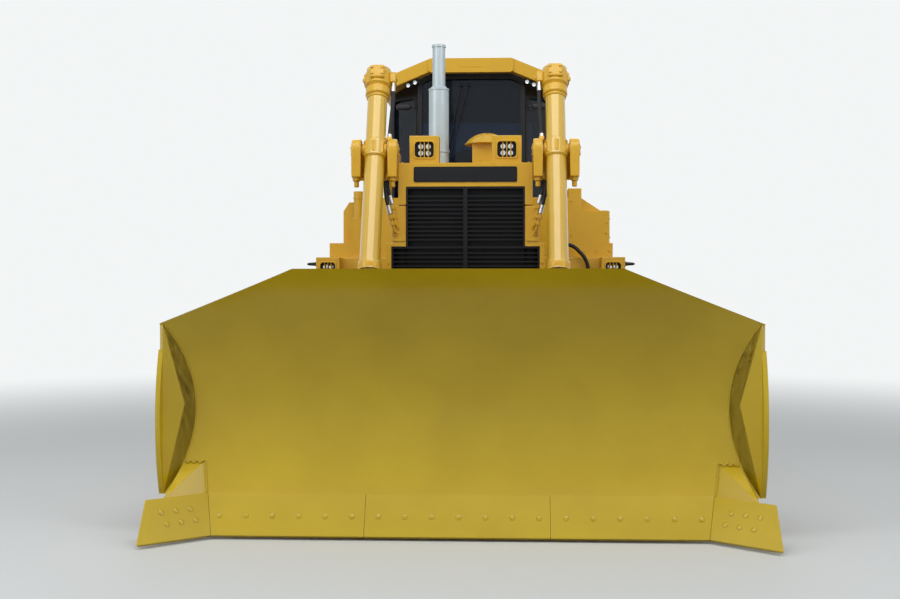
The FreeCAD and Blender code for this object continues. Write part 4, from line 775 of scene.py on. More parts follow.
def yokeDetail():
    # the ears, a low cap with three bolts over each trunnion end, and a stepped boss under each plate
    y, z = lift["pivot"]
    shapes = [yokeEar(*yoke["inner"]), yokeEar(*yoke["outer"])]
    for x, out in ((yoke["outer"][1] + 0.002, 1), (yoke["inner"][0] - 0.002, -1)):
        shapes.append(turned([(0, 0), (0, 0.05), (0.005, 0.05), (0.008, 0.046), (0.008, 0)], (x, y, z), (out, 0, 0), 28))
        for turn in np.arange(3) * 2 * math.pi / 3 + 0.5:
            spot = (x + out * 0.008, y + 0.032 * math.cos(turn), z + 0.032 * math.sin(turn))
            shapes += hexBolt(spot, (out, 0, 0), 0.007, 0.006)
    for low, high in (yoke["inner"], yoke["outer"]):
        x = (low + high) / 2
        shapes.append(turned([(0, 0), (0, 0.03), (0.03, 0.03), (0.038, 0.02), (0.038, 0)], (x, y - 0.04, z - 0.2), (0, 0, -1), 20))
        shapes.append(turned([(0, 0), (0, 0.019), (0.04, 0.019), (0.045, 0.013), (0.045, 0)], (x, y - 0.04, z - 0.235), (0, 0, -1), 16))
    return bothSides(shapes)


makePiece("yokeEars", yokeDetail(), finish("machineYellow"), "chassis", bevel=0.003, smooth=30)
print("yokes dressed")

# ---- radiator guard: blank name plate, door panels with bolts, bolts down its front, hoses with their fittings
guard = {"front": -1.37, "half": 0.51, "top": 2.558, "doorIn": 0.452, "doorOut": 0.558, "doorTop": 2.234, "doorLow": 1.95}


def frontPlate(x0, x1, z0, z1, y, thick, radius):
    # a plate with rounded corners standing proud of a front face
    outline = rounding([(x0, z0), (x1, z0), (x1, z1), (x0, z1)], radius, 5)
    return plate(outline, lambda u, v, w: np.column_stack([u, w, v]), y, -thick, min(0.003, thick * 0.4))


makePiece("namePlate", [frontPlate(-0.392, 0.392, 2.412, 2.529, guard["front"], 0.006, 0.012)], finish("blackPaint"), "chassis")


def guardTrim():
    shapes = [frontPlate(guard["doorIn"] + 0.006, guard["doorOut"] - 0.004, guard["doorLow"] + 0.012, guard["doorTop"] - 0.008,
                         guard["front"], 0.008, 0.012)]
    for z in (2.02, 2.17):
        shapes += hexBolt((guard["doorOut"] - 0.014, guard["front"] - 0.008, z), (0, -1, 0), 0.007, 0.006)
    for z in (1.0, 1.4, 1.8):
        shapes += hexBolt((0.583, guard["front"], z), (0, -1, 0), 0.010, 0.009)
    return bothSides(shapes)


makePiece("guardTrim", guardTrim(), finish("machineYellow"), "chassis")


hoseRoutes = (((0.590, -1.385, 2.45), (0.588, -1.405, 2.37), (0.570, -1.412, 2.305), (0.561, -1.412, 2.274), (0.533, -1.405, 2.14),
               (0.521, -1.37, 2.07)),
              ((0.604, -1.395, 2.42), (0.602, -1.42, 2.32), (0.583, -1.43, 2.235), (0.574, -1.43, 2.199), (0.547, -1.42, 2.09),
               (0.530, -1.37, 2.025)))


def hoseRuns():
    # two hoses a side from behind the yoke's inner plate down and inwards, their ferrules, and unions on the door
    hoses, steel, painted = [], [], [roundedBox((0.578, -1.405, 2.408), (0.602, -1.372, 2.472), 0.005)]
    for a, b, c, ferrule, union, foot in np.array(hoseRoutes):
        hoses.append(tube([a, b, c, ferrule], 0.0145, 0.05, 16))
        ahead = (ferrule - c) / np.linalg.norm(ferrule - c)
        steel.append(turned([(-0.035, 0), (-0.035, 0.017), (0.03, 0.017), (0.036, 0.013), (0.036, 0)], ferrule, ahead, 20))
        painted.append(tube([ferrule + ahead * 0.03, union, foot + np.array([0, -0.03, 0.005]), foot], 0.012, 0.03, 14))
        painted.append(turned([(0, 0), (0, 0.0185), (0.03, 0.0185), (0.034, 0.014), (0.034, 0)], ferrule + ahead * 0.04, ahead, 6))
        painted.append(turned([(0, 0), (0, 0.0185), (0.026, 0.0185), (0.03, 0.014), (0.03, 0)], union - ahead * 0.02, ahead, 6))
        painted.append(turned([(0, 0), (0, 0.024), (0.018, 0.024), (0.022, 0.02), (0.022, 0)], foot, (0, -1, 0), 6))
    return bothSides(hoses), bothSides(steel), bothSides(painted)


hoses, steel, painted = hoseRuns()
makePiece("liftHoses", hoses, finish("rubber"), "chassis", smooth=60)
makePiece("hoseFerrules", steel, finish("zincPlate"), "chassis")
makePiece("hoseUnions", painted, finish("machineYellow"), "chassis")


# ---- lamps: a dark rounded lens with a rim, three bars and four small bright reflectors behind it
def frameRing(outer, inner, lift, start, thick, edge=0.003):
    # a flat ring between two outlines of as many points, closed all round
    outer, inner = np.asarray(outer), np.asarray(inner)
    sign = 1.0 if thick > 0 else -1.0
    middle = outer.mean(0)
    drawn = middle + (outer - middle) * (1 - edge / np.abs(outer - middle).max())
    rings = [(inner, start), (outer, start), (outer, start + thick - sign * edge), (drawn, start + thick), (inner, start + thick)]
    points = np.vstack([lift(flat[:, 0], flat[:, 1], np.full(len(flat), w)) for flat, w in rings])
    return points, gridFaces(len(rings), len(outer), wrapRows=True, wrapColumns=True)


def lampFace(x, z, wide, high, y):
    # a dark lens with four bowls behind three bars, in a frame with rounded corners
    def outline(w, h, radius):
        return rounding([(x - w / 2, z - h / 2), (x + w / 2, z - h / 2), (x + w / 2, z + h / 2), (x - w / 2, z + h / 2)], radius, 6)

    def lift(u, v, w):
        return np.column_stack([u, w, v])

    lens = plate(outline(wide - 0.002, high - 0.002, 0.004), lift, y + 0.052, -0.02, 0.003)
    rim = frameRing(outline(wide + 0.016, high + 0.016, 0.02), outline(wide - 0.006, high - 0.006, 0.026), lift, y, -0.006)
    bars, glints = [rim], []
    for k in (-1, 0, 1):
        bars.append(tube([(x + k * wide * 0.2, y + 0.004, z - high / 2 + 0.002), (x + k * wide * 0.2, y + 0.004, z + high / 2 - 0.002)], 0.0035, 0, 10))
    for k in (-0.5, 0.5):
        for m in (-0.5, 0.5):
            spot = (x + k * wide * 0.38, y + 0.0315, z + m * high * 0.4)
            glints.append(turned([(0, 0), (0, 0.021), (0.004, 0.0205), (0.006, 0.019), (0.0025, 0.0)], spot, (0, -1, 0), 24))
    return [lens], bars, glints


def lampSet():
    lens, bars, glints = [], [], []
    for x, z, wide, high, y in ((0.314, 2.6635, 0.1507, 0.1266, -1.33), (1.232, 1.7645, 0.1367, 0.1266, -0.14)):
        a, b, c = lampFace(x, z, wide, high, y)
        lens += a
        bars += b
        glints += c
    return bothSides(lens), bothSides(bars), bothSides(glints)


lens, bars, glints = lampSet()
makePiece("lampLenses", lens, finish("blackPaint"), "chassis")
makePiece("lampBars", bars, finish("machineYellow"), "chassis")
makePiece("lampGlints", glints, finish("brightSteel"), "chassis")
print("guard and lamps dressed")

# ---- cab: seals round every window, wipers, mirrors, corner lamps, roof panel, handles and rails
cab = {"front": 0.30, "rear": 1.75, "half": 0.74, "nose": 0.48, "corner": 0.56, "sill": 2.30, "blackTo": 0.62,
       "windHalf": 0.452, "windSide": 3.448, "windTop": 3.487, "flat": 0.359, "side": 3.369, "doorOut": 0.755,
       "door": (0.64, 1.30), "doorTop": 3.23, "roofHalf": 0.80, "roofFront": 0.18, "roofRear": 1.85}


def grown(outline, distance):
    # every side of a counter-clockwise outline moved outwards: corner + (n1 + n2) / (1 + n1.n2) * distance
    outline = np.asarray(outline, float)
    ahead = np.roll(outline, -1, 0) - outline
    ahead /= np.linalg.norm(ahead, axis=1)[:, None]
    normal = np.column_stack([ahead[:, 1], -ahead[:, 0]])
    before = np.roll(normal, 1, 0)
    return outline + (normal + before) / (1 + (normal * before).sum(1))[:, None] * distance


def seal(outline, lift, proud, wide=0.022, lap=0.010, radius=0.03):
    # a rubber ring that laps the pane and the wall, standing proud of the wall's face
    outer = rounding(grown(outline, wide), radius + wide, 6)
    inner = rounding(grown(outline, -lap), radius, 6)
    return frameRing(outer, inner, lift, 0.0, proud, abs(proud) * 0.4)


def frontFace(u, v, w):
    return np.column_stack([u, cab["front"] + w, v])


def rearFace(u, v, w):
    return np.column_stack([-u, cab["rear"] - w, v])


def sideFace(out):
    return lambda u, v, w: np.column_stack([out - w, u, v])


def cornerFace(u, v, w):
    # a place on the left corner face: u from its middle, w inwards
    turn = math.atan2(cab["corner"] - cab["front"], cab["half"] - cab["nose"])
    x = (cab["nose"] + cab["half"]) / 2 + u * math.cos(turn) - w * math.sin(turn)
    y = (cab["front"] + cab["corner"]) / 2 + u * math.sin(turn) + w * math.cos(turn)
    return np.column_stack([x, y, v])


def box2(u0, u1, v0, v1):
    return np.array([(u0, v0), (u1, v0), (u1, v1), (u0, v1)])


def windowSeals():
    wind = np.array([(-cab["windHalf"], cab["sill"]), (cab["windHalf"], cab["sill"]), (cab["windHalf"], cab["windSide"]),
                     (cab["flat"], cab["windTop"]), (-cab["flat"], cab["windTop"]), (-cab["windHalf"], cab["windSide"])])
    corner = math.hypot(cab["half"] - cab["nose"], cab["corner"] - cab["front"]) / 2 - 0.035
    pair = [seal(box2(-corner, corner, cab["sill"], cab["side"] - 0.05), cornerFace, -0.008),
            seal(box2(1.39, 1.63, cab["sill"] + 0.1, cab["doorTop"]), sideFace(cab["half"]), -0.008)]
    return [seal(wind, frontFace, -0.008, wide=0.018),
            seal(box2(-0.59, 0.59, cab["sill"] + 0.15, cab["side"] - 0.08), rearFace, -0.008)] + bothSides(pair)


def doorSeal():
    # the pane's seal on the door's outer face, and a thin one inside
    opening = box2(cab["door"][0] + 0.098, cab["door"][1] - 0.098, cab["sill"], cab["doorTop"] - 0.098)
    return [seal(opening, sideFace(cab["doorOut"]), -0.008), seal(opening, sideFace(cab["doorOut"] - 0.05), 0.006)]


def doorHandle():
    # a cup with a pull bar and a lock
    low, rear = 2.2, cab["door"][0] + 0.075
    shapes = [roundedBox((cab["doorOut"], rear - 0.035, low - 0.06), (cab["doorOut"] + 0.012, rear + 0.05, low + 0.06), 0.006),
              tube([(cab["doorOut"] + 0.008, rear - 0.02, low - 0.035), (cab["doorOut"] + 0.034, rear - 0.02, low - 0.03),
                    (cab["doorOut"] + 0.034, rear - 0.02, low + 0.03), (cab["doorOut"] + 0.008, rear - 0.02, low + 0.035)],
                   0.007, 0.012, 12),
              turned([(0, 0), (0, 0.011), (0.018, 0.011), (0.02, 0.008), (0.02, 0)], (cab["doorOut"], rear + 0.028, low), (1, 0, 0), 18)]
    return shapes


def grabRail(points, radius=0.014, out=(1, 0, 0)):
    # a bent bar with a round foot plate at each end
    shapes = [tube(points, radius, 0.05, 14)]
    for spot in (points[0], points[-1]):
        shapes.append(turned([(-0.002, 0), (-0.002, radius * 2.1), (0.006, radius * 2.1), (0.008, radius * 1.7), (0.008, 0)], spot, out, 18))
    return shapes


def roofTrim():
    # the raised panel on the roof's front edge with a pressed line in it, and bolts along both eaves
    edge = cab["roofFront"]
    shapes = [frontPlate(-0.378, 0.378, 3.5155, 3.638, edge, 0.018, 0.03)]
    shapes.append(frontPlate(-0.10, 0.10, 3.562, 3.566, edge - 0.018, 0.003, 0.001))
    eaves = boltRow((cab["roofHalf"], edge + 0.1, 3.42), (cab["roofHalf"], cab["roofRear"] - 0.1, 3.42), 7, (1, 0, 0), 0.008, 0.007)
    return shapes + bothSides(eaves)


def wipers():
    # two arms from one pair of spindles at the top of the screen, each with a blade and its rubber
    shapes = []
    glass = cab["front"] + 0.022
    for pivot, foot in (((-0.09, 3.425), (-0.165, 3.05)), ((-0.02, 3.425), (-0.135, 2.99))):
        top = np.array([pivot[0], cab["front"] - 0.004, pivot[1]])
        low = np.array([foot[0], glass - 0.016, foot[1]])
        shapes.append(turned([(-0.026, 0), (-0.026, 0.009), (0, 0.009), (0, 0.016), (0.016, 0.015), (0.022, 0.008), (0.022, 0)],
                             top + (0, 0.006, 0), (0, -1, 0), 18))
        shapes.append(tube([top, top * 0.7 + low * 0.3 - (0, 0.012, 0), low], 0.006, 0.06, 10))
        along = (low - top) / np.linalg.norm(low - top)
        start, end = low - along * 0.26, low + along * 0.24
        shapes.append(tube([start + (0, 0.004, 0), low - (0, 0.002, 0), end + (0, 0.004, 0)], 0.005, 0.05, 8))
        shapes.append(tube([start + (0, 0.011, 0), end + (0, 0.011, 0)], 0.0035, 0, 6))
    return shapes


def mirrorPods():
    # a rounded pod beside each corner window with an arm from the post
    shapes = [roundedBox((0.545, 0.285, 3.205), (0.675, 0.345, 3.262), 0.022, 5),
              tube([(0.57, 0.318, 3.235), (0.53, 0.324, 3.236), (0.488, 0.324, 3.236)], 0.010, 0.03, 12)]
    return bothSides(shapes)


def cornerLamps():
    # a slim black case with two small bowls under each slope of the roof's front edge, turned to lie along it
    fall = math.atan2(cab["windTop"] - cab["windSide"], cab["windHalf"] - cab["flat"])
    middle = np.array([0.53, 0.245, 3.424])
    shapes = [roundedBox((-0.065, -0.03, -0.020), (0.065, 0.025, 0.020), 0.01, 4),
              roundedBox((-0.02, -0.01, 0.016), (0.02, 0.02, 0.034), 0.004)]
    bowls = [turned([(-0.001, 0), (-0.001, 0.0165), (0.004, 0.016), (0.002, 0.008), (0.001, 0)], (x, -0.03, 0), (0, -1, 0), 24)
             for x in (-0.033, 0.033)]
    c, s = math.cos(fall), math.sin(fall)
    laid = [[(np.column_stack([c * p[:, 0] + s * p[:, 2], p[:, 1], c * p[:, 2] - s * p[:, 0]]) + middle, faces) for p, faces in group]
            for group in (shapes, bowls)]
    return bothSides(laid[0]), bothSides(laid[1])


makePiece("windowSeals", windowSeals(), finish("rubber"), "chassis")
for side in ("left", "right"):
    turnOver = (lambda shapes: shapes) if side == "left" else (lambda shapes: [flipX(shape) for shape in shapes])
    makePiece("doorSeal" + side.capitalize(), turnOver(doorSeal()), finish("rubber"), "door_" + side)
    makePiece("doorHandle" + side.capitalize(), turnOver(doorHandle()), finish("blackPaint"), "door_" + side)
makePiece("roofTrim", roofTrim(), finish("machineYellow"), "chassis")
makePiece("wipers", wipers(), finish("blackPaint"), "chassis", smooth=50)
makePiece("mirrorPods", mirrorPods(), finish("cabPlastic"), "chassis", smooth=50)
cases, bowls = cornerLamps()
makePiece("cornerLampCases", cases, finish("blackPaint"), "chassis", smooth=40)
makePiece("cornerLampBowls", bowls, finish("brightSteel"), "chassis", smooth=50)
print("cab dressed")


def grillePaintedShade():
    # black sheets that close the lower grille's side columns behind the slats: painted shade standing for the dark of
    # the recess there
    return bothSides([roundedBox((0.4535, -1.20, 0.765), (0.5635, -1.192, 1.92), 0.002, 2)])


# painted shade: a black sheet at the back of each side column of the lower grille
makePiece("grillePaintedShade", grillePaintedShade(), finish("blackPaint"), "chassis")


# ---- hood: stack rings, ribbed dome, side louvres, latches, hinges, and bolts along its edges
hood = {"half": 0.49, "top": 2.5, "front": -1.0, "rear": 0.30, "low": 1.3, "slot": ((-0.82, -0.46), (-0.34, 0.02)),
        "slotZ": 1.72, "slotPitch": 0.06, "slotHigh": 0.022}
stack = {"x": -0.251, "y": -0.42, "radius": 0.084, "neck": 0.054, "step": 3.29, "top": 3.64}
intake = {"x": 0.15, "y": -0.35, "top": 2.905, "ball": 0.225, "rim": 0.18, "rimZ": 2.815, "half": 0.12}


def stackRings():
    # a rolled lip at the mouth, a band at the step and a clamp with its bolt low on the pipe
    def band(low, high, inside, outside):
        return turned([(low, inside), (low + 0.003, outside), (high - 0.003, outside), (high, inside)],
                      (stack["x"], stack["y"], 0), (0, 0, 1), 40)

    shapes = [band(stack["top"] - 0.026, stack["top"], stack["neck"] - 0.001, stack["neck"] + 0.005),
              band(stack["step"] - 0.035, stack["step"] - 0.018, stack["radius"] - 0.001, stack["radius"] + 0.004),
              band(2.735, 2.765, stack["radius"] - 0.001, stack["radius"] + 0.006),
              band(2.53, 2.55, stack["radius"] - 0.001, stack["radius"] + 0.012)]
    shapes += boltRing((stack["x"], stack["y"], 2.53), (0, 0, 1), stack["radius"] + 0.007, 6, 0.006, 0.005)
    return shapes


def domeRibs():
    # ribs down the dome's meridians: centre + ball * (sin t cos u, sin t sin u, cos t), a rolled rim and a top knob
    low = math.asin(intake["rim"] / intake["ball"])
    centre = np.array([intake["x"], intake["y"], intake["top"] - intake["ball"]])
    shapes = []
    for u in np.arange(12) * math.pi / 6 + 0.26:
        t = np.linspace(0.12, low, 14)
        ray = np.column_stack([np.sin(t) * math.cos(u), np.sin(t) * math.sin(u), np.cos(t)])
        shapes.append(tube(centre + ray * intake["ball"], 0.004, 0.0, 8))
    a = np.arange(48) * math.pi / 24
    rim = np.column_stack([intake["x"] + intake["rim"] * np.cos(a), intake["y"] + intake["rim"] * np.sin(a), np.full(48, intake["rimZ"])])
    shapes.append(carried(circle(0.006, 10), rim, closed=True))
    shapes.append(turned([(-0.004, 0), (-0.004, 0.024), (0.006, 0.02), (0.010, 0)], (intake["x"], intake["y"], intake["top"] - 0.006), (0, 0, 1), 24))
    shapes += boltRow((intake["x"] - 0.09, intake["y"] - intake["half"], 2.54), (intake["x"] + 0.09, intake["y"] - intake["half"], 2.54),
                      3, (0, -1, 0), 0.008, 0.007)
    return shapes


def hoodLouvres():
    # a pressed lip over every slot: an eighth of a turn of a tube, closed at its ends
    shapes = []
    x = hood["half"]
    for start, end in hood["slot"]:
        for row in range(8):
            z = hood["slotZ"] + row * hood["slotPitch"] + hood["slotHigh"]
            a = np.linspace(0, math.pi / 2, 6)
            outer = np.column_stack([x + 0.022 * np.sin(a), z - 0.016 + 0.022 * np.cos(a) + 0.004])
            inner = np.column_stack([x + 0.018 * np.sin(a[::-1]), z - 0.016 + 0.018 * np.cos(a[::-1]) + 0.004])
            flat = np.vstack([outer, inner])
            rings = [np.column_stack([flat[:, 0], np.full(len(flat), y), flat[:, 1]]) for y in (start - 0.008, end + 0.008)]
            shapes.append(loft(rings))
    return bothSides(shapes)


def hoodPanels():
    # raised door panels round the slots, hinges on their front edges and a latch on each rear edge
    shapes = []
    x = hood["half"]
    for start, end in ((-0.93, -0.415), (-0.385, 0.14)):
        outer = rounding([(start, 1.62), (end, 1.62), (end, 2.36), (start, 2.36)], 0.03, 5)
        inner = rounding([(start + 0.03, 1.65), (end - 0.03, 1.65), (end - 0.03, 2.33), (start + 0.03, 2.33)], 0.02, 5)
        shapes.append(frameRing(outer, inner, sideFace(x), 0.0, -0.006, 0.003))
        for z in (1.75, 2.2):
            shapes.append(turned([(0, 0), (0, 0.011), (0.08, 0.011), (0.08, 0)], (x + 0.008, start + 0.002, z), (0, 0, 1), 14))
            shapes.append(roundedBox((x, start + 0.006, z + 0.01), (x + 0.008, start + 0.055, z + 0.07), 0.003))
        shapes.append(roundedBox((x, end - 0.07, 1.93), (x + 0.02, end - 0.012, 2.03), 0.006))
        shapes.append(tube([(x + 0.012, end - 0.05, 1.95), (x + 0.034, end - 0.05, 1.955), (x + 0.034, end - 0.05, 2.005),
                            (x + 0.012, end - 0.05, 2.01)], 0.006, 0.01, 10))
    shapes += boltRow((x, -0.97, 1.36), (x, 0.26, 1.36), 9, (1, 0, 0))
    for y in (-0.97, 0.26):
        shapes += boltRow((x, y, 1.46), (x, y, 2.38), 6, (1, 0, 0))
    return bothSides(shapes)


def hoodTopTrim():
    # a low rib down the hood's middle, bolts along both edges and two lifting rings
    shapes = [roundedBox((-0.02, -0.98, 2.499), (0.02, 0.28, 2.508), 0.004)]
    for x in (-0.40, 0.40):
        shapes += boltRow((x, -0.95, 2.5), (x, 0.25, 2.5), 9, (0, 0, 1))
        a = np.linspace(0, math.pi, 12)
        ring = np.column_stack([np.full(12, x), 0.12 + 0.035 * np.cos(a), 2.505 + 0.045 * np.sin(a)])
        shapes.append(tube(ring, 0.009, 0.0, 12))
        shapes.append(roundedBox((x - 0.03, 0.065, 2.498), (x + 0.03, 0.175, 2.508), 0.004))
    return shapes


makePiece("stackRings", stackRings(), finish("stackPaint"), "chassis", smooth=40)
makePiece("domeRibs", domeRibs(), finish("machineYellow"), "chassis", smooth=50)
makePiece("hoodLouvres", hoodLouvres(), finish("machineYellow"), "chassis", smooth=40)
makePiece("hoodPanels", hoodPanels(), finish("machineYellow"), "chassis", smooth=35)
makePiece("hoodTopTrim", hoodTopTrim(), finish("machineYellow"), "chassis", smooth=35)
print("hood dressed")

# ---- undercarriage: shoe bolts, link plates and pin ends along the loop, caps and bolts on frames and wheels
track = {"x": 1.04, "pitch": 0.216, "out": 0.065, "plate": 0.018, "rail": 0.098, "front": -0.90, "rear": 2.30,
         "idler": 0.35, "run": 0.0655, "ground": 0.148, "sprocketY": 1.55, "sprocketZ": 1.23, "sprocket": 0.434,
         "firstRoller": -0.37, "rollerPitch": 0.306, "rollers": 8, "rollerZ": 0.319, "cheeks": (0.89, 1.19)}
idlerPins = math.hypot(track["idler"] + track["run"], track["pitch"] / 2)
idlerZ = track["ground"] + idlerPins


def pinPlaces():
    # the belt line round front idler, rear idler and sprocket, cut in equal lengths near the pitch
    wheels = [(track["front"], idlerZ, idlerPins), (track["rear"], idlerZ, idlerPins),
              (track["sprocketY"], track["sprocketZ"], track["sprocket"])]
    following = wheels[1:] + wheels[:1]
    normals = [math.atan2(z2 - z, y2 - y) - math.acos((r - r2) / math.hypot(y2 - y, z2 - z))
               for (y, z, r), (y2, z2, r2) in zip(wheels, following)]
    bends = []
    for (y, z, r), start, end in zip(following, normals, normals[1:] + normals[:1]):
        turn = start + np.linspace(0, (end - start) % (2 * math.pi), 400)
        bends.append(np.column_stack([y + r * np.cos(turn), z + r * np.sin(turn)]))
    line = np.vstack([bends[-1][-1:]] + bends)
    along = np.concatenate([[0], np.cumsum(np.linalg.norm(np.diff(line, axis=0), axis=1))])
    count = round(along[-1] / track["pitch"])
    spots = (np.arange(count) + 0.5) * along[-1] / count
    return np.column_stack([np.interp(spots, along, line[:, 0]), np.interp(spots, along, line[:, 1])])


def onLink(here, there):
    # a lift from (sideways, along the link, outwards) to the machine's frame
    middle = (here + there) / 2
    ahead = (there - here) / np.linalg.norm(there - here)
    outwards = np.array([ahead[1], -ahead[0]])

    def lift(side, along, out):
        side, along, out = np.broadcast_arrays(np.asarray(side, float), along, out)
        flat = middle + along[..., None] * ahead + out[..., None] * outwards
        return np.concatenate([(track["x"] + side)[..., None], flat], -1)
    return lift, np.array([0, *outwards])


def trackDetail():
    pins = pinPlaces()
    bolts, links, ends = [], [], []
    foot = track["out"] + track["plate"]
    half = track["pitch"] / 2
    link = rounding([(-half + 0.010, -0.046), (half - 0.010, -0.046), (half - 0.010, 0.050), (-half + 0.010, 0.050)],
                    [0.044, 0.044, 0.012, 0.012], 4)
    for here, there in zip(pins, np.roll(pins, -1, 0)):
        lift, outwards = onLink(here, there)
        for side in (-0.073, 0.073):
            for along in (-0.022, 0.052):
                spot = lift(side, along, foot)
                bolts.append(turned([(0, 0), (0, 0.0135), (0.008, 0.0135), (0.0105, 0.011), (0.0105, 0)], spot, outwards, 6))
        for side in (-1, 1):
            face = side * track["rail"]
            links.append(plate(link, lambda u, v, w: lift(w, u, v), face, side * 0.006, 0.003))
            spot = lift(face + side * 0.0055, -half, 0)
            ends.append(turned([(0, 0.027), (0.003, 0.027), (0.004, 0.019), (0.002, 0.017), (0.002, 0)], spot, (side, 0, 0), 14))
    return bolts, links, ends


def hubCap(x, y, z, out, radius, thick, bolts=0, ring=0.7, head=0.009):
    # a disc with an eased edge and a shallow dish, with bolts round it
    shapes = [turned([(-0.002, 0), (-0.002, radius), (thick * 0.6, radius), (thick, radius * 0.93), (thick, radius * 0.42),
                      (thick * 0.8, radius * 0.36), (thick * 0.8, 0)], (x, y, z), (out, 0, 0), 36)]
    if bolts:
        shapes += boltRing((x + out * thick, y, z), (out, 0, 0), radius * ring, bolts, head, head)
    return shapes


def frameCaps():
    # on each cheek: an idler's axle cap, two bolts and a cap for every roller, guard bolts between them
    shapes = []
    for x, out in zip(track["cheeks"], (-1, 1)):
        for y in (track["front"], track["rear"]):
            shapes += hubCap(x, y, idlerZ, out, 0.066, 0.018, 4)
            shapes.append(frameRing(rounding(box2(y - 0.105, y + 0.105, idlerZ - 0.062, idlerZ + 0.062), 0.02, 4) ,
                                    rounding(box2(y - 0.080, y + 0.080, idlerZ - 0.050, idlerZ + 0.050), 0.02, 4),
                                    sideFace(x), 0.0, -0.008 * out, 0.003))
        for k in range(track["rollers"]):
            y = track["firstRoller"] + k * track["rollerPitch"]
            shapes += hubCap(x, y, track["rollerZ"], out, 0.038, 0.012)
            for step in (-0.062, 0.062):
                shapes += hexBolt((x, y + step, track["rollerZ"]), (out, 0, 0), 0.011, 0.010)
    x = track["cheeks"][1]
    cover = rounding(box2(-0.40, 0.28, 0.525, 0.690), 0.03, 5)
    shapes.append(plate(cover, lambda u, v, w: np.column_stack([w, u, v]), x, 0.012, 0.004))
    for z in (0.545, 0.670):
        shapes += boltRow((x + 0.012, -0.37, z), (x + 0.012, 0.25, z), 6, (1, 0, 0), 0.008, 0.008)
    shapes += hubCap(x, 1.0, 0.6, 1, 0.115, 0.026, 8)
    rear = rounding(box2(1.22, 1.86, 0.525, 0.690), 0.03, 5)
    shapes.append(plate(rear, lambda u, v, w: np.column_stack([w, u, v]), x, 0.010, 0.004))
    shapes += boltRow((x + 0.010, 1.26, 0.61), (x + 0.010, 1.82, 0.61), 4, (1, 0, 0), 0.010, 0.009)
    a = np.linspace(0, 2 * math.pi, 25)[:-1]
    weld = np.column_stack([np.full(24, x + 0.002), 0.5 + 0.112 * np.cos(a), 0.6 + 0.112 * np.sin(a)])
    shapes.append(carried(circle(0.007, 8), weld, rise=(1, 0, 0), closed=True))
    return bothSides(shapes)


def wheelRibs():
    # six ribs in each idler's dish between its hub and its rim, and a bolted ring round the hub
    shapes = []
    for y in (track["front"], track["rear"]):
        for out in (-1, 1):
            floor = track["x"] + out * 0.0545
            for turn in np.arange(6) * math.pi / 3 + 0.5:
                c, s = math.cos(turn), math.sin(turn)
                web = np.array([(0.085, -0.012), (0.285, -0.009), (0.285, 0.009), (0.085, 0.012)])
                shapes.append(plate(web, lambda u, v, w: np.column_stack([w, y + u * c - v * s, idlerZ + u * s + v * c]),
                                    floor, out * 0.034, 0.004))
            shapes += boltRing((floor, y, idlerZ), (out, 0, 0), 0.135, 12, 0.010, 0.010)
    return bothSides(shapes)


def driveCovers():
    # rings of bolts on the sprocket and on both steps of the final drive, a centre cover and two plugs
    y, z = track["sprocketY"], track["sprocketZ"]
    side = 0.038
    shapes = []
    for out in (-1, 1):
        shapes.append(turned([(-0.002, 0.262), (-0.002, 0.375), (0.008, 0.372), (0.010, 0.368), (0.010, 0.266), (0.008, 0.262)],
                             (track["x"] + out * side, y, z), (out, 0, 0), 52))
        shapes += boltRing((track["x"] + out * (side + 0.010), y, z), (out, 0, 0), 0.342, 26, 0.012, 0.012)
    shapes += boltRing((1.228, y, z), (1, 0, 0), 0.216, 20, 0.011, 0.011)
    shapes += boltRing((1.268, y, z), (1, 0, 0), 0.150, 12, 0.010, 0.010)
    shapes += hubCap(1.268, y, z, 1, 0.085, 0.016, 6, 0.78, 0.007)
    for step in (-0.11, 0.11):
        shapes += hexBolt((1.268, y + step * 0.35, z + step), (1, 0, 0), 0.016, 0.014)
    shapes += hubCap(1.138, 0.25, 1.169, 1, 0.058, 0.012, 4)
    shapes += boltRing((0.4505, y, z), (1, 0, 0), 0.262, 18, 0.012, 0.012)
    return bothSides(shapes)


bolts, links, ends = trackDetail()
for side in ("left", "right"):
    turnOver = (lambda shapes: shapes) if side == "left" else (lambda shapes: [flipX(shape) for shape in shapes])
    where = side.capitalize()
    makePiece("shoeBolts" + where, turnOver(bolts), finish("trackSteel"), "chassis")
    makePiece("linkPlates" + where, turnOver(links), finish("trackSteel"), "chassis", smooth=40)
    makePiece("pinEnds" + where, turnOver(ends), finish("brightSteel"), "chassis", smooth=40)
makePiece("frameCaps", frameCaps(), finish("machineYellow"), "chassis")
makePiece("wheelRibs", wheelRibs(), finish("machineYellow"), "chassis")
makePiece("driveCovers", driveCovers(), finish("machineYellow"), "chassis")
print("undercarriage dressed")

# ---- push arms and braces: trunnion caps, box-section flanges, pins with keepers, tilt cylinder rings and ports
arm = {"x": 1.47, "half": 0.09, "z": 0.60, "high": 0.12, "y": 0.50, "pin": 1.572, "rear": -2.30, "brace": 1.44,
       "braceLow": (-1.38, 0.80), "braceHigh": (-2.21, 1.33)}


def pinKeeper(x, y, z, out, radius):
    # a pin's head with a grease hole and a keeper bar with its bolt
    shapes = hubCap(x, y, z, out, radius, 0.012)
    shapes.append(roundedBox((x + min(0, out * 0.010), y - 0.012, z + radius * 0.4), (x + max(0, out * 0.010), y + 0.012, z + radius + 0.05), 0.004))
    shapes += hexBolt((x + out * 0.010, y, z + radius + 0.032), (out, 0, 0), 0.008, 0.008)
    return shapes


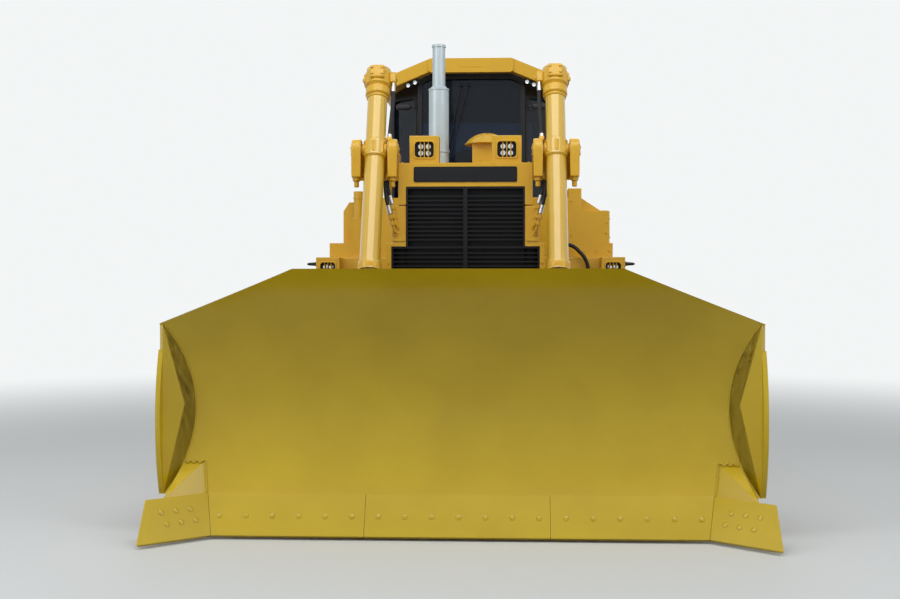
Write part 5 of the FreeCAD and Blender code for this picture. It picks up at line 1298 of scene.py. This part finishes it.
def armDetail():
    shapes = hubCap(arm["pin"], arm["y"], arm["z"], 1, 0.092, 0.022, 6, 0.68, 0.012)
    face = arm["x"] + arm["half"]
    for x in (face, arm["x"] - arm["half"]):
        out = 1 if x == face else -1
        for low in (arm["z"] - arm["high"] + 0.004, arm["z"] + arm["high"] - 0.026):
            shapes.append(roundedBox((min(x, x + out * 0.014), arm["rear"] + 0.02, low), (max(x, x + out * 0.014), arm["y"] - 0.17, low + 0.022), 0.004))
        shapes.append(turned([(-0.002, 0.108), (-0.002, 0.146), (0.008, 0.143), (0.010, 0.138), (0.010, 0.112), (0.008, 0.108)],
                             (x, arm["y"], arm["z"]), (out, 0, 0), 44))
        for y in (-2.05, -1.1, -0.2):
            doubler = rounding(box2(y - 0.10, y + 0.10, arm["z"] - 0.085, arm["z"] + 0.085), 0.03, 5)
            shapes.append(plate(doubler, lambda u, v, w: np.column_stack([w, u, v]), x, out * 0.008, 0.004))
    for y, z in (arm["braceLow"], arm["braceHigh"]):
        for out in (-1, 1):
            shapes += pinKeeper(arm["brace"] + out * 0.076, y, z, out, 0.036)
    return bothSides(shapes)


braceRun = np.array([0, arm["braceHigh"][0] - arm["braceLow"][0], arm["braceHigh"][1] - arm["braceLow"][1]])
braceLong = np.linalg.norm(braceRun)
braceUp = braceRun / braceLong
braceFoot = np.array([arm["brace"], *arm["braceLow"]])


def bandOn(foot, axis, low, high, inside, outside, count=32):
    # a ring with eased edges round a bar: its low and high ends along the axis
    return turned([(low, inside), (low, outside - 0.004), (low + 0.004, outside), (high - 0.004, outside), (high, outside - 0.004),
                   (high, inside)], foot, axis, count)


def braceDetail():
    # tilt cylinder on the left: gland, foot ring and ports. Screw brace on the right: lock nut, thread and foot ring
    barrel = 0.067
    top = 0.09 + braceLong * 0.58
    left = [bandOn(braceFoot, braceUp, 0.09, 0.13, barrel - 0.001, barrel + 0.010),
            bandOn(braceFoot, braceUp, top - 0.055, top + 0.004, 0.034, barrel + 0.009),
            bandOn(braceFoot, braceUp, top - 0.10, top - 0.075, barrel - 0.001, barrel + 0.006)]
    left += boltRing(braceFoot + braceUp * (top + 0.004), braceUp, 0.054, 8, 0.008, 0.007)
    up = np.cross(braceUp, (1, 0, 0))
    for reach in (0.16, top - 0.13):
        spot = braceFoot + braceUp * reach + up * (barrel - 0.004)
        left.append(turned([(0, 0), (0, 0.022), (0.02, 0.022), (0.024, 0.018), (0.024, 0)], spot, up, 6))
    sleeve = 0.055
    right = [bandOn(braceFoot, braceUp, 0.09, 0.12, sleeve - 0.001, sleeve + 0.008)]
    nut = 0.09 + braceLong * 0.45
    right.append(bandOn(braceFoot, braceUp, nut - 0.02, nut + 0.035, 0.033, 0.062, 6))
    for k in range(16):
        right.append(bandOn(braceFoot, braceUp, nut + 0.045 + k * 0.016, nut + 0.054 + k * 0.016, 0.0325, 0.0375, 24))
    return left, [flipX(shape) for shape in right]


left, right = braceDetail()
makePiece("armDetail", armDetail(), finish("machineYellow"), "blade", smooth=32)
makePiece("tiltCylinderRings", left, finish("machineYellow"), "blade")
makePiece("braceRings", right, finish("machineYellow"), "blade")


def bladeBack():
    # keepers on the lift pins, gussets in the frame's bays, and beads along its beams
    shapes = []
    for out in (-1, 1):
        shapes += pinKeeper(lift["x"] + out * 0.088, *lift["eye"], out, 0.046)
    back = -2.31
    for x in (0.30, 1.10):
        for z, rise in ((0.562, 1), (1.388, -1)):
            corner = np.array([(back + 0.002, z), (back - 0.14, z), (back - 0.012, z + rise * 0.13), (back + 0.002, z + rise * 0.13)])
            shapes.append(plate(corner if rise < 0 else corner[::-1], lambda u, v, w: np.column_stack([w, u, v]), x - 0.008, 0.016, 0.003))
    for z in (0.345, 1.485):
        x = np.linspace(-1.56, 1.56, 40)
        shapes.append(weldBead(np.column_stack([x, np.full(40, back + 0.001), np.full(40, z)]), 0.005, pitch=0.03))
    for x in (-1.2, -0.4, 0.4, 1.2):
        shapes.append(frameRing(rounding(box2(x - 0.14, x + 0.14, 1.405, 1.485), 0.02, 4), rounding(box2(x - 0.12, x + 0.12, 1.42, 1.47), 0.014, 4),
                                lambda u, v, w: np.column_stack([u, back + w, v]), 0.0, 0.006, 0.002))
    return bothSides(shapes[:len(shapes) - 6]) + shapes[len(shapes) - 6:]


makePiece("bladeBack", bladeBack(), finish("bladeYellow"), "blade", smooth=35)
print("arms and blade back dressed")

# ---- boxes, tanks and fenders: lids, hinges, latches, bolts, filler caps, tread bars, rails, the front hose
box = {"front": 0.10, "rear": 0.62, "inner": 0.86, "half": 1.222, "top": 2.28, "towerHalf": 0.975, "towerTop": 2.48,
       "tankHalf": 1.141, "tankTop": 2.369, "filler": (-0.995, 0.155), "foot": 2.0, "footHalf": 1.25, "deck": 1.87}


def latch(x, y, z, out):
    # a toggle latch on a side wall: base, lever and catch
    return [roundedBox((min(x, x + out * 0.006), y - 0.022, z - 0.045), (max(x, x + out * 0.006), y + 0.022, z + 0.035), 0.003),
            roundedBox((min(x + out * 0.004, x + out * 0.022), y - 0.014, z - 0.035), (max(x + out * 0.004, x + out * 0.022), y + 0.014, z + 0.02), 0.005),
            tube([(x + out * 0.012, y, z + 0.01), (x + out * 0.018, y, z + 0.06)], 0.004, 0, 8)]


def boxDetail():
    shapes = []
    for low, high, top, sign in ((box["inner"], box["half"], box["top"], 1),):
        lid = rounding(box2(low + 0.004, high + 0.006, box["front"] + 0.186, box["rear"] + 0.006), 0.012, 4)
        shapes.append(plate(lid, lambda u, v, w: np.column_stack([u, v, w]), top - 0.0005, 0.016, 0.005))
        for y in (0.36, 0.54):
            shapes += latch(high, y, top - 0.06, 1)
        for y in (0.33, 0.57):
            shapes.append(turned([(0, 0), (0, 0.010), (0.07, 0.010), (0.07, 0)], (low + 0.012, y - 0.035, top + 0.018), (0, 1, 0), 14))
        shapes.append(tube([(1.0, 0.45, top + 0.012), (1.0, 0.45, top + 0.05), (1.12, 0.45, top + 0.05), (1.12, 0.45, top + 0.012)], 0.008, 0.02, 12))
    for x, z in ((0.887, 2.371), (0.887, 2.071), (1.191, 2.181), (1.191, 2.088)):
        shapes += hexBolt((x, box["front"], z), (0, -1, 0), 0.010, 0.009)
    for z in (2.05, 2.21):
        shapes += boltRow((box["half"], 0.15, z), (box["half"], 0.27, z), 2, (1, 0, 0), 0.009, 0.008)
    shapes += boltRow((0.52, box["front"], 1.92), (0.52, box["front"], 2.36), 4, (0, -1, 0), 0.009, 0.008)
    shapes += boltRow((1.0, box["front"], 1.93), (1.22, box["front"], 1.93), 3, (0, -1, 0), 0.009, 0.008)
    tank = []
    fx, fy = box["filler"]
    tank.append(turned([(0, 0), (0, 0.040), (0.004, 0.0465), (0.030, 0.0465), (0.036, 0.040), (0.036, 0)], (fx, fy, 2.424), (0, 0, 1), 12))
    tank.append(turned([(0, 0.044), (0, 0.052), (0.012, 0.052), (0.012, 0.044)], (fx, fy, 2.395), (0, 0, 1), 32))
    tank += boltRing((fx, fy, 2.228), (0, 0, 1), 0.0495, 6, 0.005, 0.005)
    for z in (2.06, 2.14, 2.22):
        tank += hexBolt((-1.045, 0.21, z), (0, -1, 0), 0.009, 0.008)
    tank += boltRow((-0.9, 0.33, box["tankTop"]), (-1.05, 0.33, box["tankTop"]), 2, (0, 0, 1), 0.010, 0.009)
    tank += [shape for y in (0.33, 0.5) for shape in hexBolt((-1.141, y, 2.06), (-1, 0, 0), 0.010, 0.009)]
    glass = rounding(box2(0.36, 0.39, 2.10, 2.24), 0.012, 4)
    tank.append(frameRing(grown(glass[::1], 0.0) + 0, rounding(box2(0.367, 0.383, 2.108, 2.232), 0.006, 4),
                          lambda u, v, w: np.column_stack([-1.141 - w, u, v]), 0.0, 0.012, 0.003))
    tank.append(turned([(0, 0), (0, 0.10), (0.008, 0.10), (0.012, 0.092), (0.012, 0)], (-0.98, 0.44, box["tankTop"]), (0, 0, 1), 36))
    tank += boltRing((-0.98, 0.44, box["tankTop"] + 0.012), (0, 0, 1), 0.078, 8, 0.008, 0.008)
    tank += boltRow((-0.52, box["front"], 1.92), (-0.52, box["front"], 2.36), 4, (0, -1, 0), 0.009, 0.008)
    return shapes + tank


def treadBars():
    # short raised bars in alternating slants on the fender's deck, a bar each: a lozenge with eased edges
    shapes = []
    z = box["deck"]
    for i in range(7):
        for j in range(26):
            x, y = 0.80 + i * 0.066, 0.70 + j * 0.060
            turn = math.radians(45 if (i + j) % 2 else -45)
            c, s = math.cos(turn), math.sin(turn)
            flat = np.array([(-0.020, 0), (-0.008, -0.0045), (0.008, -0.0045), (0.020, 0), (0.008, 0.0045), (-0.008, 0.0045)])
            foot = np.column_stack([x + flat[:, 0] * c - flat[:, 1] * s, y + flat[:, 0] * s + flat[:, 1] * c])
            head = (foot - foot.mean(0)) * 0.55 + foot.mean(0)
            shapes.append(loft([np.column_stack([foot, np.full(6, z - 0.0005)]), np.column_stack([head, np.full(6, z + 0.0032)])]))
    return bothSides(shapes)


def fenderDetail():
    # bolts along the outer skirt and a row of bolts across the front of each fender
    shapes = []
    for y in np.linspace(0.10, 2.2, 12):
        shapes += hexBolt((1.272, y, 1.84), (1, 0, 0), 0.008, 0.007)
    shapes += boltRow((0.62, 0.02, 1.76), (1.12, 0.02, 1.76), 5, (0, -1, 0), 0.009, 0.008)
    return bothSides(shapes)


def handRails():
    rails = grabRail([(0.742, 0.60, 2.32), (0.80, 0.60, 2.34), (0.80, 0.60, 2.98), (0.742, 0.60, 3.0)])
    rails += grabRail([(1.20, 1.86, 1.868), (1.20, 1.86, 2.42), (1.20, 2.22, 2.42), (1.20, 2.22, 1.868)], 0.016, (0, 0, 1))
    rails += grabRail([(0.60, 2.02, 2.846), (0.60, 2.02, 2.94), (0.60, 2.38, 2.94), (0.60, 2.38, 2.846)], 0.012, (0, 0, 1))
    return bothSides(rails)


def frontHose():
    # a hose out of the left cowl, over the fender's front edge, down before it and in to a union on the hood's side
    route = [(0.79, 0.104, 1.985), (0.80, 0.05, 1.992), (0.90, -0.015, 1.972), (1.015, -0.045, 1.85), (1.03, -0.06, 1.70),
             (0.93, -0.06, 1.54), (0.72, -0.06, 1.48), (0.53, -0.06, 1.475), (0.487, -0.06, 1.475)]
    ends = [turned([(0, 0), (0, 0.024), (0.03, 0.024), (0.036, 0.019), (0.036, 0)], (0.79, 0.1, 1.985), (0.1, -1, 0.1), 6),
            turned([(0, 0), (0, 0.026), (0.035, 0.026), (0.042, 0.02), (0.042, 0)], (0.489, -0.06, 1.475), (1, 0, 0), 6)]
    return [tube(route, 0.0165, 0.12, 18)], ends


def lampPegs():
    # a short tapered rubber buffer on the outer wall of each fender lamp
    return bothSides([turned([(-0.002, 0), (-0.002, 0.022), (0.012, 0.022), (0.02, 0.016), (0.075, 0.012), (0.09, 0.006), (0.09, 0)],
                             (1.334, -0.06, 1.812), (1, 0, 0), 20)])


makePiece("boxDetail", boxDetail(), finish("machineYellow"), "chassis", smooth=35)
makePiece("treadBars", treadBars(), finish("machineYellow"), "chassis", smooth=20)
makePiece("fenderBolts", fenderDetail(), finish("machineYellow"), "chassis")
makePiece("handRails", handRails(), finish("machineYellow"), "chassis", smooth=50)
hoses, ends = frontHose()
makePiece("frontHose", hoses, finish("rubber"), "chassis", smooth=60)
makePiece("frontHoseEnds", ends, finish("machineYellow"), "chassis")
makePiece("lampPegs", lampPegs(), finish("rubber"), "chassis", smooth=50)
print("boxes and fenders dressed")

# ---- rear: tank cap, seams and drain, rear case covers, lamps under the roof's rear edge, hull covers
tail = {"rear": 2.56, "top": 2.85, "half": 0.88, "caseRear": 2.48, "caseTop": 1.75, "cap": (0.30, 2.16)}


def tankDetail():
    x, y = tail["cap"]
    shapes = [turned([(-0.002, 0), (-0.002, 0.085), (0.012, 0.085), (0.016, 0.078), (0.016, 0.064), (0.05, 0.062), (0.05, 0)], (x, y, tail["top"]), (0, 0, 1), 36),
              turned([(0.045, 0), (0.045, 0.070), (0.050, 0.076), (0.078, 0.076), (0.086, 0.066), (0.088, 0.03), (0.084, 0)], (x, y, tail["top"]), (0, 0, 1), 10)]
    shapes += boltRing((x, y, tail["top"] + 0.014), (0, 0, 1), 0.0745, 6, 0.006, 0.006)
    for side in (-0.45, 0.45):
        outer = rounding(box2(side - 0.36, side + 0.36, 2.05, 2.62), 0.06, 6)
        inner = rounding(box2(side - 0.335, side + 0.335, 2.075, 2.595), 0.045, 6)
        shapes.append(frameRing(outer, inner, lambda u, v, w: np.column_stack([u, tail["rear"] + w, v]), 0.0, 0.007, 0.003))
    shapes.append(turned([(0, 0), (0, 0.04), (0.012, 0.04), (0.016, 0.02), (0.03, 0.02), (0.03, 0)], (0, 2.2, 1.87), (0, 0, -1), 24))
    for side in (-1, 1):
        for y in np.linspace(1.9, 2.4, 4):
            shapes += hexBolt((side * tail["half"], y, 1.93), (side, 0, 0), 0.011, 0.010)
        seam = np.array([(1.78, 2.835), (2.395, 2.835), (2.545, 2.685), (2.545, 2.005), (2.435, 1.885), (1.78, 1.885)])
        path = np.column_stack([np.full(6, side * (tail["half"] - 0.001)), seam])
        shapes.append(weldBead(path, 0.004, 0.001, 0.02))
    return shapes


def caseCovers():
    # bolted covers on the rear face, the rear slope and the top of the case
    def rearWall(u, v, w):
        return np.column_stack([u, tail["caseRear"] + w, v])

    shapes = [plate(rounding(box2(-0.33, 0.33, 0.92, 1.46), 0.06, 6), rearWall, -0.0005, 0.022, 0.006)]
    for z in (0.96, 1.42):
        shapes += boltRow((-0.27, tail["caseRear"] + 0.0215, z), (0.27, tail["caseRear"] + 0.0215, z), 6, (0, 1, 0), 0.012, 0.011)
    for x in (-0.295, 0.295):
        shapes += boltRow((x, tail["caseRear"] + 0.0215, 1.04), (x, tail["caseRear"] + 0.0215, 1.34), 4, (0, 1, 0), 0.012, 0.011)
    shapes.append(turned([(0, 0), (0, 0.085), (0.03, 0.082), (0.036, 0.07), (0.03, 0.05), (0.03, 0)], (0, tail["caseRear"] + 0.02, 1.19), (0, 1, 0), 36))
    shapes += boltRing((0, tail["caseRear"] + 0.053, 1.19), (0, 1, 0), 0.062, 6, 0.009, 0.009)
    for side in (-0.38, 0.38):
        shapes += hexBolt((side, tail["caseRear"], 0.88), (0, 1, 0), 0.02, 0.018)
    for y in (2.13, 2.27):
        for side in (-1, 1):
            shapes += hexBolt((side * 0.16, y + 0.12, 0.64), (side, 0, 0), 0.014, 0.013)
    for y in (-0.75, 0.2, 0.75, 1.5):
        shapes.append(turned([(-0.001, 0), (-0.001, 0.10), (0.010, 0.10), (0.013, 0.094), (0.013, 0)], (0, y, 0.56), (0, 0, -1), 32))
        shapes += boltRing((0, y, 0.547), (0, 0, -1), 0.08, 8, 0.009, 0.008)
    for y in (-0.92, -0.45, 0.5, 0.95):
        for side in (-1, 1):
            shapes += hexBolt((side * 0.43, y, 0.62), (side, 0, 0), 0.012, 0.011)
            shapes += hexBolt((side * 0.43, y, 0.98), (side, 0, 0), 0.012, 0.011)
    return shapes


def guardSides():
    # bolts down the guard's flanks, a raised side cover, and bolts on the lamps' cases
    shapes = []
    for z in np.linspace(0.70, 1.86, 8):
        shapes += hexBolt((0.60, -1.06, z), (1, 0, 0), 0.011, 0.010)
        shapes += hexBolt((0.60, -1.31, z), (1, 0, 0), 0.011, 0.010)
    cover = rounding(box2(-1.27, -1.10, 0.80, 1.80), 0.03, 5)
    shapes.append(plate(cover, lambda u, v, w: np.column_stack([w, u, v]), 0.5995, 0.008, 0.003))
    for x in (0.23, 0.40):
        shapes += hexBolt((x, -1.25, 2.769), (0, 0, 1), 0.008, 0.007)
    shapes += boltRow((0.30, -1.34, 2.558), (0.48, -1.34, 2.558), 2, (0, 0, 1), 0.009, 0.008)
    return bothSides(shapes)


def engineBolts():
    # three rows of bolts along each flank of the engine under the hood
    return bothSides([shape for z in (1.08, 1.17, 1.26)
                      for shape in boltRow((0.40, -0.88, z), (0.40, -0.02, z), 8, (1, 0, 0), 0.009, 0.008)])


def rearLamps():
    cases, bowls, red = [], [], []
    for x in (0.46,):
        middle = np.array([x, 1.80, 3.40])
        aim = np.array([0.05, 1, -0.2])
        cases += [turned([(-0.05, 0), (-0.05, 0.03), (-0.02, 0.055), (0.035, 0.06), (0.040, 0.054), (0.030, 0.051), (0.030, 0)], middle, aim, 28),
                  tube([middle, middle + (0, -0.01, 0.095)], 0.012, 0, 12)]
        bowls.append(turned([(0.031, 0.0), (0.0315, 0.049), (0.034, 0.045), (0.031, 0.02), (0.031, 0.0)], middle, aim, 28))
        cases.append(roundedBox((0.76, 2.555, 2.66), (0.86, 2.585, 2.72), 0.008))
        red.append(roundedBox((0.766, 2.583, 2.666), (0.854, 2.598, 2.714), 0.006))
    return bothSides(cases), bothSides(bowls), bothSides(red)


makePiece("tankDetail", tankDetail(), finish("machineYellow"), "chassis", smooth=35)
makePiece("caseCovers", caseCovers(), finish("machineYellow"), "chassis", smooth=35)
makePiece("guardSides", guardSides(), finish("machineYellow"), "chassis", smooth=35)
makePiece("engineBolts", engineBolts(), finish("engineIron"), "chassis", smooth=35)
cases, bowls, red = rearLamps()
makePiece("rearLampCases", cases, finish("blackPaint"), "chassis", smooth=40)
makePiece("rearLampBowls", bowls, finish("brightSteel"), "chassis", smooth=50)
makePiece("rearLenses", red, finish("redLens"), "chassis", smooth=40)
print("rear dressed")

# ---- cab inside: padded seat on its pedestal, arm rests with levers, dash, pedals and a floor mat
seat = {"half": 0.26, "front": 0.86, "rear": 1.40, "panLow": 2.25, "panTop": 2.38, "floor": 1.93}


def pad(centre, half, power=5.0, sink=0.10, rows=33, columns=48):
    # a crowned cushion: a rounded box whose cross-sections are superellipses |x/a|^p + |y/b|^p = 1, with a sewn
    # channel pressed in across it: height falls by sink * exp(-(y / width)^2)
    v = np.linspace(-math.pi / 2, math.pi / 2, rows)[:, None]
    u = (np.arange(columns) * 2 * math.pi / columns)[None]
    flat = (np.abs(np.cos(u)) ** power + np.abs(np.sin(u)) ** power) ** (-1 / power)
    rise = (np.abs(np.cos(v)) ** 2.6 + np.abs(np.sin(v)) ** 2.6) ** (-1 / 2.6)
    x = half[0] * flat * np.cos(u) * rise * np.cos(v)
    y = half[1] * flat * np.sin(u) * rise * np.cos(v)
    z = half[2] * rise * np.sin(v) * (1 - 0.12 * ((x / half[0]) ** 2 + (y / half[1]) ** 2) / 2)
    for line in (-0.45, 0.1, 0.62):
        z = z * (1 - sink * np.exp(-((y / half[1] - line) / 0.05) ** 2) * (np.abs(x) < half[0] * 0.92))
    rings = np.stack([x, y, z + 0 * x], -1)[1:-1]
    points, faces = loft(rings)
    return points + np.asarray(centre), faces


def leaned(shape, foot, degrees):
    # the shape turned about the X axis through a point
    points, faces = shape
    c, s = math.cos(math.radians(degrees)), math.sin(math.radians(degrees))
    offset = np.asarray(points) - foot
    turnedOver = np.column_stack([offset[:, 0], c * offset[:, 1] - s * offset[:, 2], s * offset[:, 1] + c * offset[:, 2]])
    return turnedOver + foot, faces


cushion = makePiece("seatCushion", [pad((0, 1.13, 2.325), (0.25, 0.255, 0.055))], finish("seatFabric"), "chassis",
                    smooth=80, replaces=("operator_seat",))
back = makePiece("seatBack", [leaned(pad((0, 1.42, 2.66), (0.235, 0.31, 0.055)), np.array([0, 1.42, 2.66]), 80)],
                 finish("seatFabric"), "chassis", smooth=80)


def seatFrame():
    # pedestal with a bellows, side consoles with arm pads, levers and knobs, dash with blank dials, and pedals
    shapes = []
    for k in range(7):
        z = seat["floor"] + 0.03 + k * 0.034
        shapes.append(roundedBox((-0.17 + 0.01 * (k % 2), 0.97, z), (0.17 - 0.01 * (k % 2), 1.35, z + 0.036), 0.012))
    shapes.append(roundedBox((-0.20, 0.95, seat["floor"]), (0.20, 1.37, seat["floor"] + 0.035), 0.008))
    shapes.append(roundedBox((-0.24, 0.90, 2.262), (0.24, 1.38, 2.286), 0.008))
    for side in (-1, 1):
        low, high = sorted((side * 0.272, side * 0.368))
        shapes.append(roundedBox((low, 0.93, seat["floor"]), (high, 1.36, 2.50), 0.02))
        shapes.append(roundedBox((low + 0.006, 0.99, 2.505), (high - 0.006, 1.34, 2.575), 0.025, 5))
        x = side * 0.32
        shapes.append(tube([(x, 0.955, 2.48), (x, 0.945, 2.54), (x - side * 0.01, 0.93, 2.585)], 0.008, 0.03, 10))
        shapes.append(turned([(-0.02, 0), (-0.02, 0.014), (0.0, 0.021), (0.025, 0.018), (0.033, 0.008), (0.033, 0)], (x - side * 0.01, 0.928, 2.59), (0, -0.2, 1), 18))
    shapes.append(roundedBox((-0.13, 1.50, 2.86), (0.13, 1.53, 2.985), 0.012))
    shapes.append(roundedBox((-0.36, 0.61, seat["floor"]), (0.36, 0.86, seat["floor"] + 0.006), 0.002))
    for x in (-0.12, 0.12):
        shapes.append(roundedBox((x - 0.045, 0.52, 2.02), (x + 0.045, 0.64, 2.10), 0.008))
    return shapes


def dash():
    # an instrument hood over the console with three blank dials
    shapes = [leaned(roundedBox((-0.20, 0.46, 2.42), (0.20, 0.53, 2.60), 0.02), np.array([0, 0.5, 2.42]), -20)]
    dials = []
    for x in (-0.12, 0.0, 0.12):
        dials.append(turned([(0, 0.036), (0, 0.042), (0.006, 0.042), (0.008, 0.038), (0.004, 0.034), (0.004, 0)], (x, 0.563, 2.50), (0, 1, 0.36), 24))
    return shapes, dials


makePiece("seatFrame", seatFrame(), finish("cabPlastic"), "chassis", smooth=40)
hoodShapes, dials = dash()
makePiece("dashHood", hoodShapes, finish("cabPlastic"), "chassis", smooth=40)
makePiece("dashDials", dials, finish("zincPlate"), "chassis", smooth=40)
print("cab fitted out")

# ---- CAD nodes that stay: a finish for each, and eased edges
nodeFinish = {"lift_barrel_left": "cylinderYellow", "lift_barrel_right": "cylinderYellow", "cab_shell": "cabPaint", "blade_bowl": "bladeYellow", "cutting_edge": "bladeYellow", "end_bits": "bladeYellow",
              "track_left": "trackSteel", "track_right": "trackSteel", "front_grille": "blackPaint",
              "radiator_core": "blackPaint", "lift_rod_left": "brightSteel", "lift_rod_right": "brightSteel",
              "exhaust_stack": "stackPaint", "operator_seat": "seatFabric", "console": "cabPlastic",
              "engine_block": "engineIron", "cab_glass": "tintedGlass", "door_glass_left": "tintedGlass",
              "door_glass_right": "tintedGlass"}
nodeEase = {"front_grille": 0.0, "track_left": 0.002, "track_right": 0.002, "cab_glass": 0.0, "door_glass_left": 0.0,
            "door_glass_right": 0.0}


def dressNodes():
    for name, thing in nodes.items():
        kind = nodeFinish.get(name, "machineYellow")
        special = {"tintedGlass": tintedGlass, "cabPaint": cabPaint}
        material = special[kind]() if kind in special else finish(kind)
        thing.data.materials.clear()
        thing.data.materials.append(material)
        ease = nodeEase.get(name, 0.005)
        if ease:
            weld = thing.modifiers.new("weld", "WELD")
            weld.merge_threshold = 0.0001
            eased = thing.modifiers.new("eased", "BEVEL")
            eased.width, eased.segments, eased.limit_method = ease, 2, "ANGLE"
            eased.angle_limit = math.radians(40)
            even = thing.modifiers.new("even", "WEIGHTED_NORMAL")
            even.keep_sharp = True


dressNodes()
print("solids dressed")
